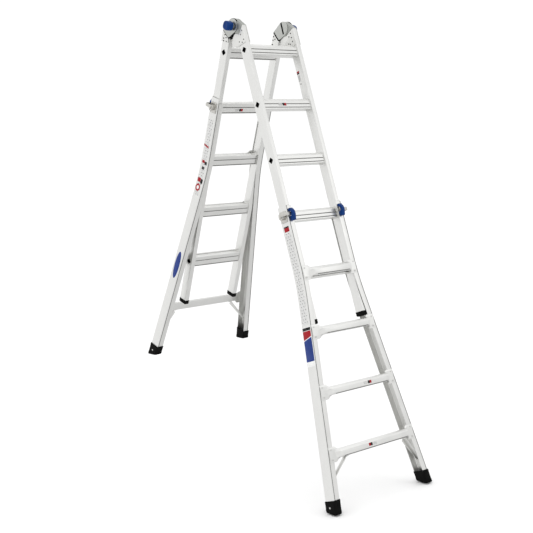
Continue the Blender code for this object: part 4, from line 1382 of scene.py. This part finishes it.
def build_small_labels():
    """Small marks on two rungs, two steps and the right fly rail: a dark block beside print."""
    rung_face, rung_back = RAIL_MID + RUNG_DEPTH / 2, RAIL_MID - RUNG_DEPTH / 2 - 0.3 * MM
    step_face = STEP_FACE + STEP_PROFILE[3][0] * MM
    rows = (
        ("front_rung_2", "front_fly", (-40 * MM, rung_face, rung_down(2) + 4 * MM), 1),
        ("rear_rung_2", "rear_fly", (36 * MM, rung_back, rung_down(2) + 10 * MM), -1),
        ("front_step_3", "front_base", (38 * MM, step_face, step_down(3) + 1 * MM), 1),
        ("front_step_4", "front_base", (-26 * MM, step_face, step_down(4) + 1 * MM), -1),
    )
    matrices = {"front_fly": FLY["front"], "rear_fly": FLY["rear"], "front_base": BASE["front"]}
    for name, body, place, turn in rows:
        for part, material, u in (("red", "label_red", (17, 30)), ("dark", "label_black", (4, 17.2)),
                                  ("print", "print_dark", (-26, 1))):
            low, high = sorted(turn * value * MM for value in u)
            mesh = fly_patch(place, (low, -MARK_HALF), (high, MARK_HALF), "front")
            piece(f"{name}_mark_{part}", mesh, matrices[body], body, material)
    spots = (("red", "label_red", (17, 259), (36, 268)),
             ("dark", "label_black", (17, 268.5), (36, 276)),
             ("print", "print_dark", (18, 281), (34, 318)),
             ("dot", "label_black", (25, 329), (31, 335)))
    for part, material, low, high in spots:
        mesh = fly_patch((RAIL_X[0], 0, 0), *scaled((low, high)), "inner")
        piece(f"front_right_rail_mark_{part}", mesh, FLY["front"], "front_fly", material)


# ---------------------------------------------------------------- studio

def make_floor():
    mesh = bpy.data.meshes.new("floor")
    bm = bmesh.new()
    bmesh.ops.create_circle(bm, cap_ends=True, segments=64, radius=FLOOR_RADIUS)
    bm.to_mesh(mesh)
    bm.free()
    material, tree, shader, place = new_material("floor_paint", 0.0)
    cloud = noise(tree, place, 0.8)
    tree.links.new(ramp(tree, cloud, (0.96, 0.96, 0.96), (0.975, 0.975, 0.975)),
                   shader.inputs["Base Color"])
    tree.links.new(ranged(tree, cloud, 0.75, 0.85), shader.inputs["Roughness"])
    mesh.materials.append(material)
    floor = bpy.data.objects.new("floor", mesh)
    floor.visible_glossy = False
    bpy.context.scene.collection.objects.link(floor)


def smooth_range(tree, value, span, levels):
    """A value eased from one level to another over a span."""
    made = node(tree, "ShaderNodeMapRange", {"interpolation_type": "SMOOTHSTEP"}, {
        "Value": value, "From Min": span[0], "From Max": span[1], "To Min": levels[0],
        "To Max": levels[1]})
    return made.outputs["Result"]


def combined(tree, operation, first, second):
    made = node(tree, "ShaderNodeMath", {"operation": operation}, {0: first, 1: second})
    return made.outputs["Value"]


def make_world():
    """A white studio: brighter overhead and at the camera's left, dimmer low and at its right."""
    world = bpy.data.worlds.new("studio")
    bpy.context.scene.world = world
    world.use_nodes = True
    tree = world.node_tree
    direction = node(tree, "ShaderNodeTexCoord").outputs["Generated"]
    azimuth = math.radians(CAMERA_TURN[0])
    rightward = (math.cos(azimuth), math.sin(azimuth), 0)
    along = node(tree, "ShaderNodeVectorMath", {"operation": "DOT_PRODUCT"},
                 {0: direction, 1: rightward}).outputs["Value"]
    height = node(tree, "ShaderNodeSeparateXYZ", inputs={"Vector": direction}).outputs["Z"]
    right = smooth_range(tree, along, (0.3, 1.0), (WORLD_LEVEL, WORLD_RIGHT))
    left = smooth_range(tree, along, (-1.0, -0.3), (WORLD_LEFT - WORLD_LEVEL, 0.0))
    low = smooth_range(tree, height, (-0.85, -0.05), (WORLD_LOW, 1.0))
    overhead = smooth_range(tree, height, (0.45, 0.9), (0.0, WORLD_OVERHEAD))
    sides = combined(tree, "MULTIPLY", combined(tree, "ADD", right, left), low)
    background = tree.nodes["Background"]
    background.inputs["Color"].default_value = (1, 1, 1, 1)
    tree.links.new(combined(tree, "ADD", sides, overhead), background.inputs["Strength"])


def area_light(name, place, target, size, power):
    light = bpy.data.lights.new(name, "AREA")
    light.shape = "DISK"
    light.size = size
    light.energy = power
    obj = bpy.data.objects.new(name, light)
    bpy.context.scene.collection.objects.link(obj)
    obj.location = place
    obj.rotation_mode = "QUATERNION"
    obj.rotation_quaternion = (Vector(target) - Vector(place)).to_track_quat("-Z", "Y")


def make_camera():
    azimuth, elevation, roll = (math.radians(angle) for angle in CAMERA_TURN)
    back = Vector((math.sin(azimuth) * math.cos(elevation),
                   -math.cos(azimuth) * math.cos(elevation), math.sin(elevation)))
    level = Vector((0, 0, 1)).cross(back).normalized()
    upright = back.cross(level)
    right = math.cos(roll) * level + math.sin(roll) * upright
    up = back.cross(right)
    camera = bpy.data.cameras.new("camera")
    camera.lens = CAMERA_LENS
    camera.clip_end = 2 * FLOOR_RADIUS
    obj = bpy.data.objects.new("camera", camera)
    bpy.context.scene.collection.objects.link(obj)
    turn = Matrix((right, up, back)).transposed().to_4x4()
    obj.matrix_world = Matrix.Translation(PIVOT + CAMERA_FROM_PIVOT) @ turn
    bpy.context.scene.camera = obj


def make_studio():
    make_floor()
    make_world()
    area_light("key", KEY_PLACE, KEY_TARGET, KEY_SIZE, KEY_POWER)
    make_camera()
    bpy.context.scene.view_settings.view_transform = "Standard"


for ladder_section in SIDES:
    build_fly(ladder_section)
    build_base(ladder_section)
for hinge_side in SIDES["front"]:
    build_hinge(hinge_side)
build_labels()
make_studio()
